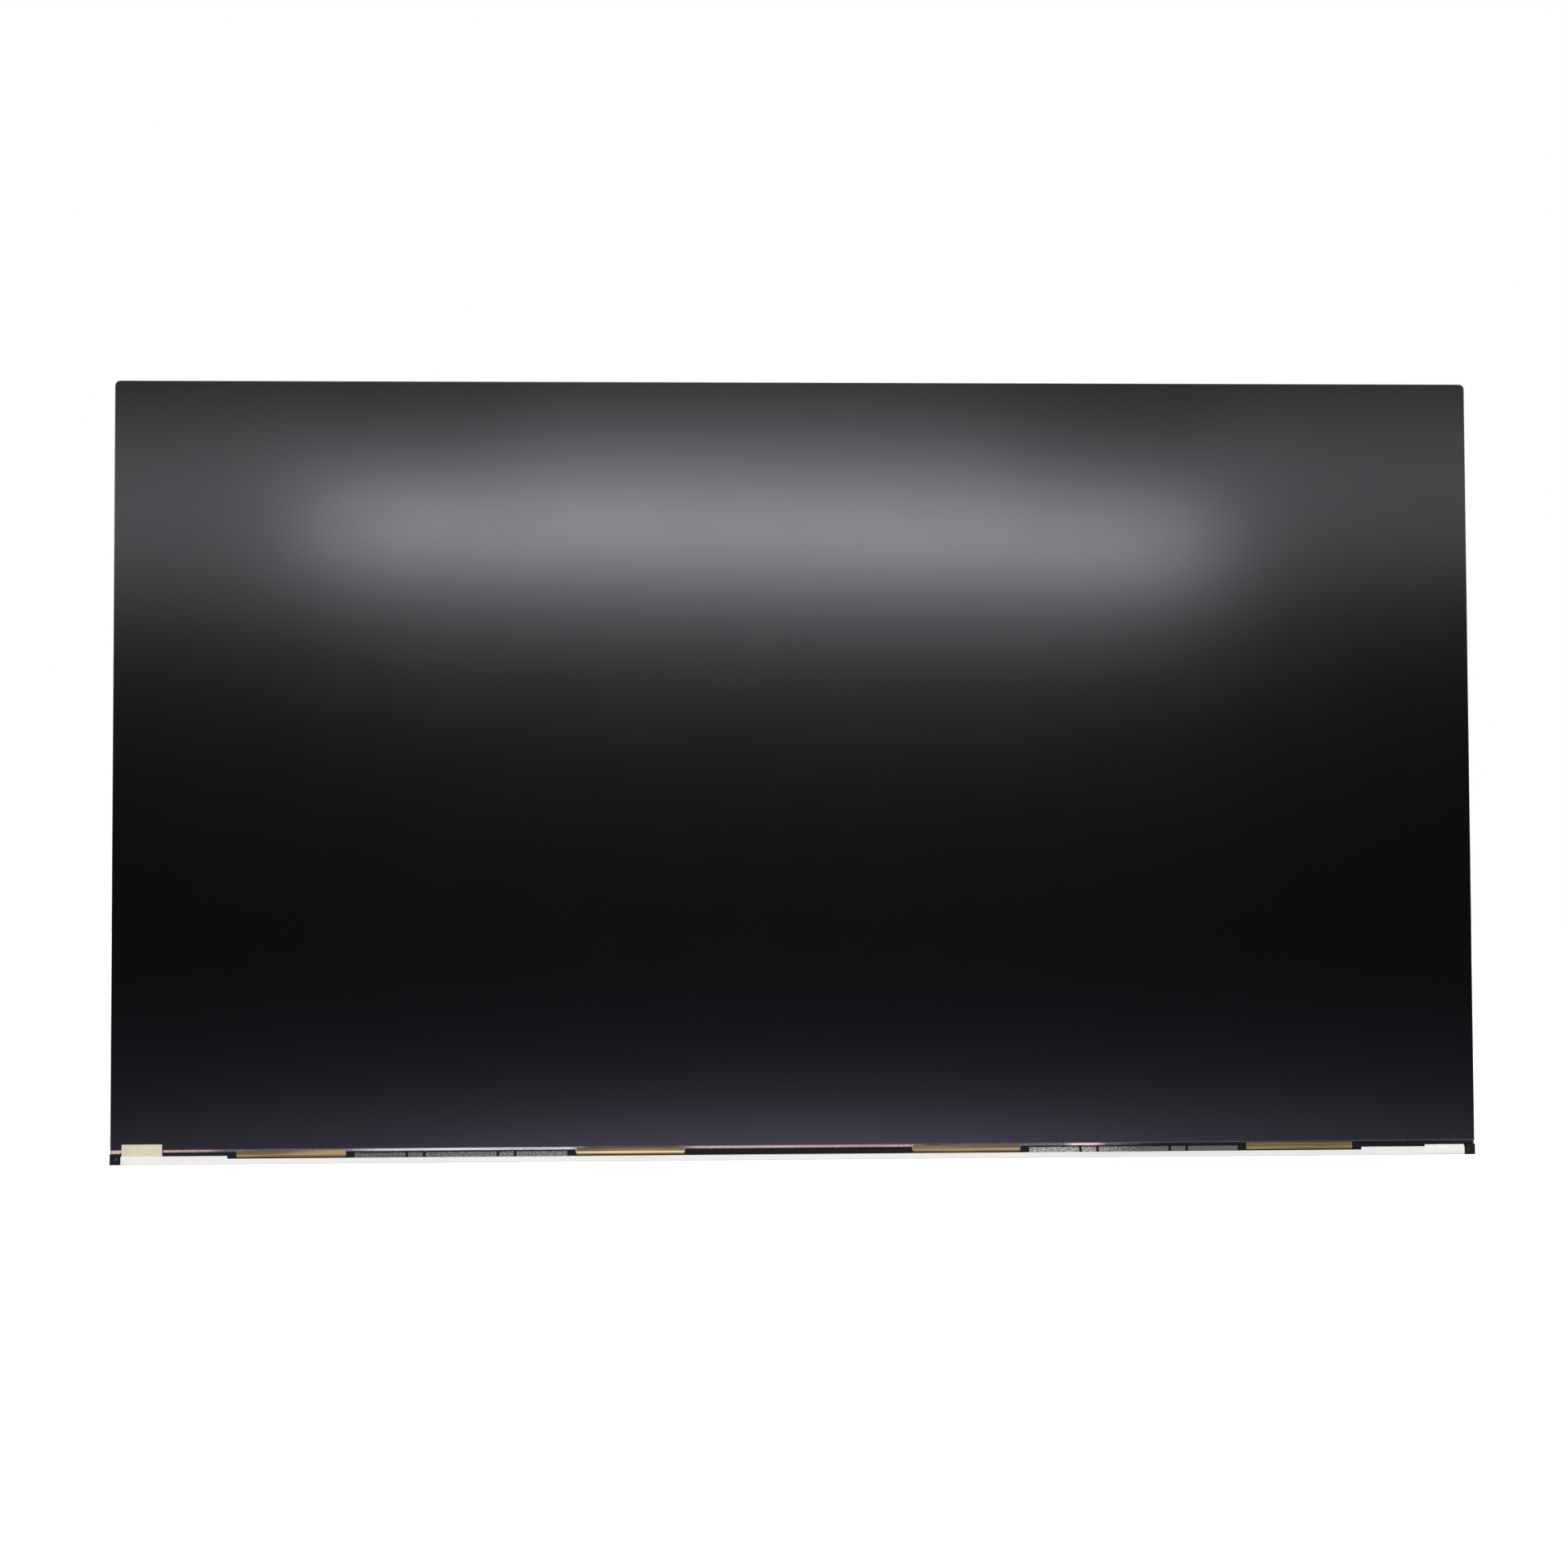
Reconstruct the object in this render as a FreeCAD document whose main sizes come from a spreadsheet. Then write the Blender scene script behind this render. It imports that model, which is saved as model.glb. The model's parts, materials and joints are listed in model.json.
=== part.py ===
# LCD panel module for a 23.8-inch monitor: glass cell, edge-lit backlight and source board.
# X runs along the screen, Z points up and the screen faces -Y. The origin is the middle of
# the four rear fixing holes, in the plane of the raised pads that carry them.
import FreeCAD, Part

import math
import os
import re

import Sketcher

SIZES = {
    # Picture area and glass cell
    "picture_width": 527.04,
    "picture_height": 296.46,
    "side_border": 3.8,
    "top_border": 2.4,
    "lower_border": 1.85,
    "ledge_reach": 2.6,
    "glass_thickness": 0.5,
    "glass_corner_radius": 2.0,
    "ledge_corner_cut": 1.2,
    "front_polarizer_thickness": 0.22,
    "front_polarizer_setback": 0.25,
    "rear_polarizer_thickness": 0.18,
    "rear_polarizer_setback": 0.6,
    # Middle frame and cell tape
    "tape_thickness": 0.4,
    "tape_width": 1.2,
    "tape_setback": 0.2,
    "frame_inset": 0.35,
    "frame_window_margin": 0.4,
    "web_thickness": 1.1,
    "skirt_thickness": 0.7,
    "skirt_clearance": 0.1,
    "skirt_setback": 1.0,
    # Optical stack
    "reflector_thickness": 0.2,
    "guide_thickness": 2.5,
    "guide_gap": 0.5,
    "guide_overrun": 0.7,
    "diffuser_thickness": 0.3,
    "prism_thickness": 0.25,
    "sheet_setback": 0.3,
    "sheet_play": 0.1,
    "stopper_length": 14.0,
    "side_stopper_pitch": 160.0,
    "top_stopper_pitch": 190.0,
    # Lamp row
    "lamp_pitch": 10.5,
    "lamp_end_play": 3.0,
    "lamp_width": 7.0,
    "lamp_height": 0.8,
    "lamp_depth": 2.0,
    "lamp_standoff": 0.2,
    "lamp_board_thickness": 0.6,
    "lamp_board_width": 3.2,
    "lamp_board_end_gap": 2.5,
    "lamp_tape_thickness": 0.15,
    "lamp_tail_width": 8.0,
    "lamp_tail_end_gap": 4.0,
    "lamp_tail_fold": 0.6,
    "lamp_tail_start": 2.4,
    "lamp_slot_play": 0.4,
    # Rear chassis
    "chassis_sheet": 0.6,
    "chassis_corner_relief": 1.4,
    "chassis_fold_radius": 0.45,
    "pad_height": 1.2,
    "draft_angle": 40.0,
    "mount_spacing_x": 450.0,
    "mount_spacing_z": 150.0,
    "mount_pad_width": 16.0,
    "pad_corner_cut": 2.4,
    "mount_hole_radius": 1.25,
    "collar_wall": 0.7,
    "collar_length": 1.2,
    "bead_height": 0.9,
    "bead_radius": 6.0,
    "bead_pitch": 85.0,
    "bead_end_gap": 26.0,
    "cross_bead_span": 420.0,
    "cross_bead_top_gap": 27.5,
    "cross_bead_board_gap": 19.0,
    "hook_length": 7.0,
    "hook_width": 0.9,
    "hook_reach": 0.6,
    "hook_play": 0.3,
    "top_hook_pitch": 110.0,
    "side_hook_pitch": 95.0,
    # Bottom rail
    "film_room": 3.12,
    "rail_floor_thickness": 0.6,
    "rail_clearance": 0.08,
    "rail_back_thickness": 0.7,
    "ledge_show": 1.0,
    "post_width": 3.2,
    "recess_depth": 0.25,
    "recess_rim": 0.35,
    "recess_rib": 1.0,
    "inner_rib_place": 14.3,
    "outer_rib_place": 21.0,
    "lug_width": 4.0,
    "lug_depth": 4.0,
    "lug_height": 4.09,
    "lug_gap": 0.2,
    "lug_hole_radius": 0.8,
    # Bottom cover and its screws
    "cover_sheet": 0.4,
    "cover_fold_radius": 0.35,
    "cover_depth": 4.4,
    "cover_overhang": 3.0,
    "lip_height": 2.1,
    "lip_end_height": 3.2,
    "lip_end_length": 41.0,
    "screw_rise": 9.0,
    "screw_pad_width": 8.0,
    "well_width": 9.2,
    "well_draft": 30.0,
    "screw_radius": 1.0,
    "screw_hole_play": 0.05,
    "screw_pass_play": 0.3,
    "screw_length": 1.8,
    "screw_head_radius": 2.1,
    "screw_head_height": 1.1,
    "notch_play": 3.0,
    "notch_drop": 8.5,
    # Source films and driver chips
    "film_width": 42.0,
    "film_thickness": 0.1,
    "film_float": 0.9,
    "film_fold": 0.9,
    "window_play": 0.4,
    "bond_length": 2.25,
    "board_bond_length": 2.2,
    "chip_width": 22.0,
    "chip_height": 1.8,
    "chip_thickness": 0.6,
    "chip_rise": 8.6,
    # Source board and what it carries
    "insulator_thickness": 0.1,
    "insulator_margin": 0.8,
    "board_thickness": 1.0,
    "board_width": 452.0,
    "board_height": 18.0,
    "board_rise": 16.2,
    "board_corner_cut": 3.0,
    "board_hole_radius": 1.6,
    "board_hole_inset": 4.5,
    "timing_chip_side": 10.0,
    "timing_chip_thickness": 1.0,
    "timing_chip_place": 14.0,
    "power_chip_side": 5.0,
    "power_chip_thickness": 0.8,
    "power_chip_place": 98.0,
    "coil_side": 6.0,
    "coil_thickness": 2.2,
    "coil_place": 110.0,
    "part_corner_cut": 0.4,
    "capacitor_length": 2.0,
    "capacitor_width": 1.25,
    "capacitor_pitch": 6.5,
    "capacitor_rise": 7.5,
    "signal_connector_width": 38.0,
    "signal_connector_place": -60.0,
    "lamp_connector_width": 9.0,
    "lamp_connector_gap": 0.5,
    "connector_height": 5.6,
    "connector_thickness": 2.4,
    "connector_wall": 0.6,
    "connector_mouth_depth": 3.4,
    # Tapes on the ledge
    "ledge_tape_width": 15.6,
    "ledge_tape_thickness": 0.1,
    "ledge_tape_overlap": 2.3,
    "end_tape_rise": 0.8,
    "end_tape_foot": 0.2,
    "tape_end_gap": 0.3,
}

FILM_COUNT = 4
SCREW_COUNT = FILM_COUNT - 1
BEAD_COUNT = 5
TOP_HOOKS = 5
SIDE_HOOKS = 3
TOP_STOPPERS = 3
CAPACITORS_PER_FILM = 6
NEAR = 0.01
UP = FreeCAD.Vector(0, 0, 1)

# Places across the screen, from the middle outwards
FILM_PITCH = f"(picture_width / {FILM_COUNT})"
HALF_GLASS = "(picture_width / 2 + side_border)"
HALF_FRAME = f"({HALF_GLASS} - frame_inset)"
HALF_WALL = f"({HALF_FRAME} - skirt_thickness - skirt_clearance)"
HALF_PAN = f"({HALF_WALL} - chassis_sheet)"
HALF_GUIDE = f"({HALF_PAN} - guide_gap)"
HALF_RAIL = f"({HALF_GLASS} - lug_width)"
HALF_COVER = f"({HALF_RAIL} - lug_gap)"
LIP_MIDDLE = f"({HALF_COVER} - lip_end_length)"
LAMP_TAIL_X = f"({HALF_PAN} - lamp_tail_end_gap - lamp_tail_width / 2)"
LAMP_ROW_ROOM = f"(2 * ({LAMP_TAIL_X} - lamp_tail_width / 2 - lamp_end_play) - lamp_width)"
LAMP_COUNT = f"(floor({LAMP_ROW_ROOM} / lamp_pitch) + 1)"

# Depth planes, from the rear of the chassis to the face of the screen
REAR = "(-pad_height)"
PAN = f"({REAR} - chassis_sheet)"
REFLECTOR = f"({PAN} - reflector_thickness)"
GUIDE = f"({REFLECTOR} - guide_thickness)"
DIFFUSER = f"({GUIDE} - diffuser_thickness)"
LOWER_PRISM = f"({DIFFUSER} - prism_thickness)"
UPPER_PRISM = f"({LOWER_PRISM} - prism_thickness)"
RIM = f"({UPPER_PRISM} - sheet_play)"
WEB = f"({RIM} - web_thickness)"
TAPE = f"({WEB} - tape_thickness)"
ARRAY_REAR = f"({TAPE} - rear_polarizer_thickness)"
LEDGE = f"({ARRAY_REAR} - glass_thickness)"
FILTER = f"({LEDGE} - glass_thickness)"
FRONT = f"({FILTER} - front_polarizer_thickness)"
LIP = f"({FRONT} - cover_sheet)"
SKIRT_REAR = f"({REAR} - skirt_setback)"
HOOK_MID = f"(({RIM} + {SKIRT_REAR}) / 2)"
RAIL_WALL_REAR = f"({LEDGE} - film_thickness - rail_clearance)"
RAIL_BACK = f"({ARRAY_REAR} + rail_clearance)"
RAIL_REAR = f"({RAIL_BACK} + rail_back_thickness)"
LUG_REAR = f"({FRONT} + lug_depth)"
BOARD_REAR = f"({REAR} + insulator_thickness + board_thickness)"
FILM_REAR = f"({BOARD_REAR} + film_thickness)"
LAMP_TAIL_REAR = f"({REAR} + film_thickness)"
COVER_REAR = f"({REAR} + cover_depth)"
COVER_SKIN = f"({COVER_REAR} - cover_sheet)"

# Heights, from the top of the glass to the foot of the cover
GLASS_TOP = "(picture_height / 2 + top_border)"
FRAME_TOP = f"({GLASS_TOP} - frame_inset)"
WALL_TOP = f"({FRAME_TOP} - skirt_thickness - skirt_clearance)"
PAN_TOP = f"({WALL_TOP} - chassis_sheet)"
GUIDE_TOP = f"({PAN_TOP} - guide_gap)"
FILTER_LOW = "(-picture_height / 2 - lower_border)"
LEDGE_LOW = f"({FILTER_LOW} - ledge_reach)"
GUIDE_LOW = "(-picture_height / 2 - guide_overrun)"
LAMP_FACE = f"({GUIDE_LOW} - lamp_standoff)"
LAMP_FOOT = f"({LAMP_FACE} - lamp_height)"
LAMP_BOARD_FOOT = f"({LAMP_FOOT} - lamp_board_thickness)"
PAN_LOW = f"({LAMP_BOARD_FOOT} - lamp_tape_thickness)"
WALL_LOW = f"({PAN_LOW} - chassis_sheet)"
FRAME_LOW = f"({WALL_LOW} - skirt_clearance - skirt_thickness)"
COVER_FLOOR = f"({FRAME_LOW} - film_room)"
COVER_LOW = f"({COVER_FLOOR} - cover_sheet)"
RAIL_FLOOR = f"({COVER_FLOOR} + rail_floor_thickness)"
RAIL_TOP = f"({FILTER_LOW} - ledge_show)"
LUG_TOP = f"({COVER_LOW} + lug_height)"
LIP_TOP = f"({COVER_LOW} + lip_height)"
LIP_END_TOP = f"({COVER_LOW} + lip_end_height)"
FILM_RUN = f"({RAIL_FLOOR} + film_float)"
WINDOW_LOW = f"({FILM_RUN} - film_thickness)"
BOND_TOP = f"({LEDGE_LOW} + bond_length)"
BOARD_LOW = f"({COVER_FLOOR} + board_rise)"
BOARD_TOP = f"({BOARD_LOW} + board_height)"
BOARD_MID = f"({BOARD_LOW} + board_height / 2)"
COVER_TOP = f"({BOARD_TOP} + cover_overhang)"
SCREW_Z = f"({COVER_FLOOR} + screw_rise)"
CHIP_Z = f"({COVER_FLOOR} + chip_rise)"
LAMP_CONNECTOR_TOP = f"({BOARD_LOW} - insulator_margin - lamp_connector_gap)"
UPPER_BEAD = f"({WALL_TOP} - cross_bead_top_gap)"
LOWER_BEAD = f"({BOARD_TOP} + cross_bead_board_gap)"

doc = FreeCAD.newDocument("LcdPanel")
sheet = doc.addObject("Spreadsheet::Sheet", "Dims")
for row, (alias, size) in enumerate(SIZES.items(), start=1):
    sheet.set(f"A{row}", alias)
    sheet.set(f"B{row}", str(size))
    sheet.setAlias(f"B{row}", alias)
doc.recompute()

subparts = []


def cells(formula):
    """Points every size named in a formula at its cell of the sheet: their names have an underscore."""
    return re.sub(r"[a-z]+_[a-z_]+", lambda word: f"Dims.{word.group()}", formula)


def solve(formula):
    """Works a formula out with the sizes in the sheet."""
    return float(sheet.evalExpression(cells(formula)))


def bind(owner, name, formula):
    """Ties a property to the sheet."""
    owner.setExpression(name, cells(formula))


def slab(label, x_span, y_span, z_span):
    """Makes a plain flat sub-part between three pairs of planes."""
    box = doc.addObject("Part::Box", label)
    spans = {"x": ("Length", x_span), "y": ("Width", y_span), "z": ("Height", z_span)}
    for axis, (side, (start, end)) in spans.items():
        bind(box, side, f"({end}) - ({start})")
        bind(box, f"Placement.Base.{axis}", start)
    subparts.append(box)


def new_body(label, many=False):
    """Starts a sub-part made of sketches and features, as one solid or many."""
    body = doc.addObject("PartDesign::Body", label)
    body.AllowCompound = many
    subparts.append(body)
    return body


def datum(body, role):
    """Finds an origin plane or axis of a body."""
    return next(item for item in body.Origin.OriginFeatures if item.Role == role)


def sketch_on(body, role, offset):
    """Starts a sketch on an origin plane, moved along the plane's normal."""
    sketch = body.newObject("Sketcher::SketchObject", "Sketch")
    sketch.AttachmentSupport = [(datum(body, role), "")]
    sketch.MapMode = "FlatFace"
    bind(sketch, "AttachmentOffset.Base.z", offset)
    return sketch


def facing_sketch(body, depth):
    """Starts a sketch that faces the viewer at a depth plane."""
    return sketch_on(body, "XZ_Plane", f"-({depth})")


def pin(sketch, kind, item, point, formula):
    """Ties a point of a sketch to a distance from the sketch's origin."""
    number = sketch.addConstraint(Sketcher.Constraint(kind, -1, 1, item, point, solve(formula)))
    bind(sketch, f"Constraints[{number}]", formula)


def pin_point(sketch, item, point, place):
    """Ties a point of a sketch both ways."""
    pin(sketch, "DistanceX", item, point, place[0])
    pin(sketch, "DistanceY", item, point, place[1])


def set_radius(sketch, item, radius):
    """Ties the radius of a circle or arc."""
    number = sketch.addConstraint(Sketcher.Constraint("Radius", item, solve(radius)))
    bind(sketch, f"Constraints[{number}]", radius)


def vector(place):
    """Works out a sketch point from a pair of formulas."""
    return FreeCAD.Vector(solve(place[0]), solve(place[1]), 0)


def outline(sketch, corners):
    """Draws a closed outline of straight lines through corners given as pairs of formulas."""
    points = [vector(corner) for corner in corners]
    ends = points[1:] + points[:1]
    lines = [sketch.addGeometry(Part.LineSegment(start, end)) for start, end in zip(points, ends)]
    for number, line in enumerate(lines):
        following = lines[(number + 1) % len(lines)]
        sketch.addConstraint(Sketcher.Constraint("Coincident", line, 2, following, 1))
        pin_point(sketch, line, 1, corners[number])


def rectangle(sketch, left, right, low, high):
    """Draws an upright rectangle between four formulas."""
    outline(sketch, [(left, low), (right, low), (right, high), (left, high)])


def cut_square(sketch, place, width, cut):
    """Draws a square about a place with its corners cut off."""
    across, up = place
    half = f"({width}) / 2"
    flat = f"({half} - {cut})"
    outline(sketch, [
        (f"{across} - {flat}", f"{up} - {half}"), (f"{across} + {flat}", f"{up} - {half}"),
        (f"{across} + {half}", f"{up} - {flat}"), (f"{across} + {half}", f"{up} + {flat}"),
        (f"{across} + {flat}", f"{up} + {half}"), (f"{across} - {flat}", f"{up} + {half}"),
        (f"{across} - {half}", f"{up} + {flat}"), (f"{across} - {half}", f"{up} - {flat}")])


def circle(sketch, place, radius):
    """Draws a circle."""
    ring = sketch.addGeometry(Part.Circle(vector(place), UP, solve(radius)))
    pin_point(sketch, ring, 3, place)
    set_radius(sketch, ring, radius)


def slot(sketch, start, end, radius):
    """Draws a slot with round ends about two centres."""
    size = solve(radius)
    first = vector(start)
    last = vector(end)
    way = (last - first).normalize()
    turn = math.atan2(way.y, way.x)
    side = FreeCAD.Vector(-way.y, way.x, 0) * size
    far_cap = Part.ArcOfCircle(Part.Circle(last, UP, size), turn - math.pi / 2, turn + math.pi / 2)
    near_cap = Part.ArcOfCircle(Part.Circle(first, UP, size), turn + math.pi / 2, turn + 1.5 * math.pi)
    loop = [
        sketch.addGeometry(far_cap),
        sketch.addGeometry(Part.LineSegment(last + side, first + side)),
        sketch.addGeometry(near_cap),
        sketch.addGeometry(Part.LineSegment(first - side, last - side)),
    ]
    for number, item in enumerate(loop):
        sketch.addConstraint(Sketcher.Constraint("Tangent", item, 2, loop[(number + 1) % 4], 1))
    sketch.addConstraint(Sketcher.Constraint("Equal", loop[0], loop[2]))
    set_radius(sketch, loop[0], radius)
    pin_point(sketch, loop[0], 3, end)
    pin_point(sketch, loop[2], 3, start)


def feature_on(body, kind, sketch, length, options):
    """Adds a pad or pocket of a sketch."""
    feature = body.newObject(f"PartDesign::{kind}", kind)
    feature.Profile = sketch
    bind(feature, "Length", length)
    taper = options.pop("taper", None)
    if taper:
        bind(feature, "TaperAngle", taper)
    for name, setting in options.items():
        setattr(feature, name, setting)
    doc.recompute()
    return feature


def pad(body, sketch, length, **options):
    """Raises a sketch by a length, towards the viewer unless it is reversed."""
    doc.recompute()
    return feature_on(body, "Pad", sketch, length, options)


def pocket(body, sketch, length, **options):
    """Cuts a sketch away over a length, away from the viewer unless it is reversed."""
    doc.recompute()
    before = body.Shape.Volume
    feature = feature_on(body, "Pocket", sketch, length, options)
    if body.Shape.Volume > before - NEAR:
        raise ValueError(f"A pocket of {body.Label} cuts nothing")
    return feature


def repeat(body, features, axis, span, count):
    """Repeats features evenly along an axis."""
    pattern = body.newObject("PartDesign::LinearPattern", "Row")
    pattern.Originals = features
    pattern.Direction = (datum(body, axis), [""])
    bind(pattern, "Length", span)
    bind(pattern, "Occurrences", str(count))
    body.Tip = pattern
    doc.recompute()


def mirror(body, features):
    """Repeats features on the other side of the middle of the screen."""
    copy = body.newObject("PartDesign::Mirrored", "Mirror")
    copy.Originals = features
    copy.MirrorPlane = (datum(body, "YZ_Plane"), [""])
    body.Tip = copy
    doc.recompute()


def edges_along(feature, axis, **place):
    """Names the straight edges that run along an axis at the given coordinates."""
    names = []
    for number, edge in enumerate(feature.Shape.Edges, start=1):
        lengths = {"x": edge.BoundBox.XLength, "y": edge.BoundBox.YLength, "z": edge.BoundBox.ZLength}
        lengths.pop(axis)
        middle = edge.CenterOfMass
        placed = all(abs(getattr(middle, name) - solve(at)) < NEAR for name, at in place.items())
        if placed and max(lengths.values()) < NEAR:
            names.append(f"Edge{number}")
    return names


def edges_at_depth(feature, depth):
    """Names the edges that lie in a depth plane."""
    found = []
    for number, edge in enumerate(feature.Shape.Edges, start=1):
        box = edge.BoundBox
        if abs(box.YMin - solve(depth)) < NEAR and box.YLength < NEAR:
            found.append(f"Edge{number}")
    return found


def dress(body, kind, feature, edges, size):
    """Rounds or bevels edges of a feature."""
    finish = body.newObject(f"PartDesign::{kind}", kind)
    finish.Base = (feature, edges)
    bind(finish, {"Fillet": "Radius", "Chamfer": "Size"}[kind], size)
    doc.recompute()
    return finish


def spread(number, count, pitch):
    """Gives the place of one of several things spaced evenly about the middle."""
    return f"(({number} - {(count - 1) / 2}) * {pitch})"


def film_x(number):
    """Gives the middle of a source film, counted from the left."""
    return spread(number, FILM_COUNT, FILM_PITCH)


def cell_layer(label, setback, low, rear, front):
    """Makes one layer of the glass cell, with rounded upper corners."""
    body = new_body(label)
    sketch = facing_sketch(body, rear)
    half = f"({HALF_GLASS} - {setback})"
    top = f"({GLASS_TOP} - {setback})"
    rectangle(sketch, f"-{half}", half, low, top)
    plate = pad(body, sketch, f"{rear} - {front}")
    return body, dress(body, "Fillet", plate, edges_along(plate, "y", z=top), "glass_corner_radius")


def glass_cell():
    """Makes the two glasses and the polariser on each side of them."""
    cell_layer("front_polarizer", "front_polarizer_setback",
               f"({FILTER_LOW} + front_polarizer_setback)", FILTER, FRONT)
    cell_layer("color_filter_glass", "0", FILTER_LOW, LEDGE, FILTER)
    body, glass = cell_layer("array_glass", "0", LEDGE_LOW, ARRAY_REAR, LEDGE)
    dress(body, "Chamfer", glass, edges_along(glass, "y", z=LEDGE_LOW), "ledge_corner_cut")
    cell_layer("rear_polarizer", "rear_polarizer_setback", FILTER_LOW, TAPE, ARRAY_REAR)


def cell_tape():
    """Makes the foam ring that sticks the cell to the middle frame."""
    body = new_body("cell_tape")
    sketch = facing_sketch(body, WEB)
    for inset in ("tape_setback", "(tape_setback + tape_width)"):
        half = f"({HALF_FRAME} - {inset})"
        rectangle(sketch, f"-{half}", half, f"({FRAME_LOW} + {inset})", f"({FRAME_TOP} - {inset})")
    pad(body, sketch, "tape_thickness")


def hook_outlines(sketch, side, play):
    """Draws the snap hooks of one wall, or the windows that take them with some play round."""
    reach = f"(hook_width / 2 + {play})"
    half = f"(hook_length / 2 + {play})"
    span = (f"({HOOK_MID} - {reach})", f"({HOOK_MID} + {reach})")
    if side == "top":
        for number in range(TOP_HOOKS):
            middle = spread(number, TOP_HOOKS, "top_hook_pitch")
            rectangle(sketch, f"{middle} - {half}", f"{middle} + {half}", *span)
    else:
        for number in range(SIDE_HOOKS):
            middle = spread(number, SIDE_HOOKS, "side_hook_pitch")
            rectangle(sketch, *span, f"{middle} - {half}", f"{middle} + {half}")


def middle_frame():
    """Makes the plastic ring that carries the cell and snaps over the chassis walls."""
    body = new_body("middle_frame")
    ring = facing_sketch(body, SKIRT_REAR)
    rectangle(ring, f"-{HALF_FRAME}", HALF_FRAME, FRAME_LOW, FRAME_TOP)
    pad(body, ring, f"{SKIRT_REAR} - {WEB}")
    window = facing_sketch(body, WEB)
    half_window = "(picture_width / 2 + frame_window_margin)"
    window_top = "(picture_height / 2 + frame_window_margin)"
    rectangle(window, f"-{half_window}", half_window, f"-{window_top}", window_top)
    pocket(body, window, "web_thickness")
    seat = facing_sketch(body, RIM)
    half_seat = f"({HALF_WALL} + skirt_clearance)"
    rectangle(seat, f"-{half_seat}", half_seat,
              f"({WALL_LOW} - skirt_clearance)", f"({WALL_TOP} + skirt_clearance)")
    pocket(body, seat, f"{SKIRT_REAR} - {RIM}")
    top_windows = sketch_on(body, "XY_Plane", FRAME_TOP)
    hook_outlines(top_windows, "top", "hook_play")
    pocket(body, top_windows, "skirt_thickness")
    side_windows = sketch_on(body, "YZ_Plane", HALF_FRAME)
    hook_outlines(side_windows, "side", "hook_play")
    mirror(body, [pocket(body, side_windows, "skirt_thickness")])


def optical_stack():
    """Makes the reflector, the light guide and the three sheets in front of it."""
    full = (f"-{HALF_GUIDE}", HALF_GUIDE)
    guide_span = (GUIDE_LOW, GUIDE_TOP)
    slab("reflector_sheet", full, (REFLECTOR, PAN), guide_span)
    slab("light_guide", full, (GUIDE, REFLECTOR), guide_span)
    half = f"({HALF_GUIDE} - sheet_setback)"
    inner = (f"-{half}", half)
    sheet_span = (f"({GUIDE_LOW} + sheet_setback)", f"({GUIDE_TOP} - sheet_setback)")
    slab("diffuser_sheet", inner, (DIFFUSER, GUIDE), sheet_span)
    slab("lower_prism_sheet", inner, (LOWER_PRISM, DIFFUSER), sheet_span)
    slab("upper_prism_sheet", inner, (UPPER_PRISM, LOWER_PRISM), sheet_span)


def guide_stoppers():
    """Makes the silicone pads that keep the light guide in place."""
    body = new_body("guide_stoppers", many=True)
    sketch = facing_sketch(body, REFLECTOR)
    for height in ("side_stopper_pitch / 2", "-side_stopper_pitch / 2"):
        span = (f"{height} - stopper_length / 2", f"{height} + stopper_length / 2")
        rectangle(sketch, HALF_GUIDE, HALF_PAN, *span)
        rectangle(sketch, f"-{HALF_PAN}", f"-{HALF_GUIDE}", *span)
    for number in range(TOP_STOPPERS):
        middle = spread(number, TOP_STOPPERS, "top_stopper_pitch")
        rectangle(sketch, f"{middle} - stopper_length / 2", f"{middle} + stopper_length / 2",
                  GUIDE_TOP, PAN_TOP)
    pad(body, sketch, "guide_thickness")


def lamp_row():
    """Makes the lamp board, its heat tape and the row of lamps that shines into the guide."""
    half = f"({HALF_PAN} - lamp_board_end_gap)"
    across = (f"-{half}", half)
    depth = (f"({PAN} - lamp_board_width)", PAN)
    slab("lamp_tape", across, depth, (PAN_LOW, LAMP_BOARD_FOOT))
    slab("lamp_board", across, depth, (LAMP_BOARD_FOOT, LAMP_FOOT))
    body = new_body("lamp_packages", many=True)
    sketch = sketch_on(body, "XY_Plane", LAMP_FOOT)
    row_span = f"(({LAMP_COUNT} - 1) * lamp_pitch)"
    middle = f"(({GUIDE} + {REFLECTOR}) / 2)"
    rectangle(sketch, f"-{row_span} / 2 - lamp_width / 2", f"-{row_span} / 2 + lamp_width / 2",
              f"{middle} - lamp_depth / 2", f"{middle} + lamp_depth / 2")
    lamp = pad(body, sketch, "lamp_height")
    repeat(body, [lamp], "X_Axis", row_span, LAMP_COUNT)


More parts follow.
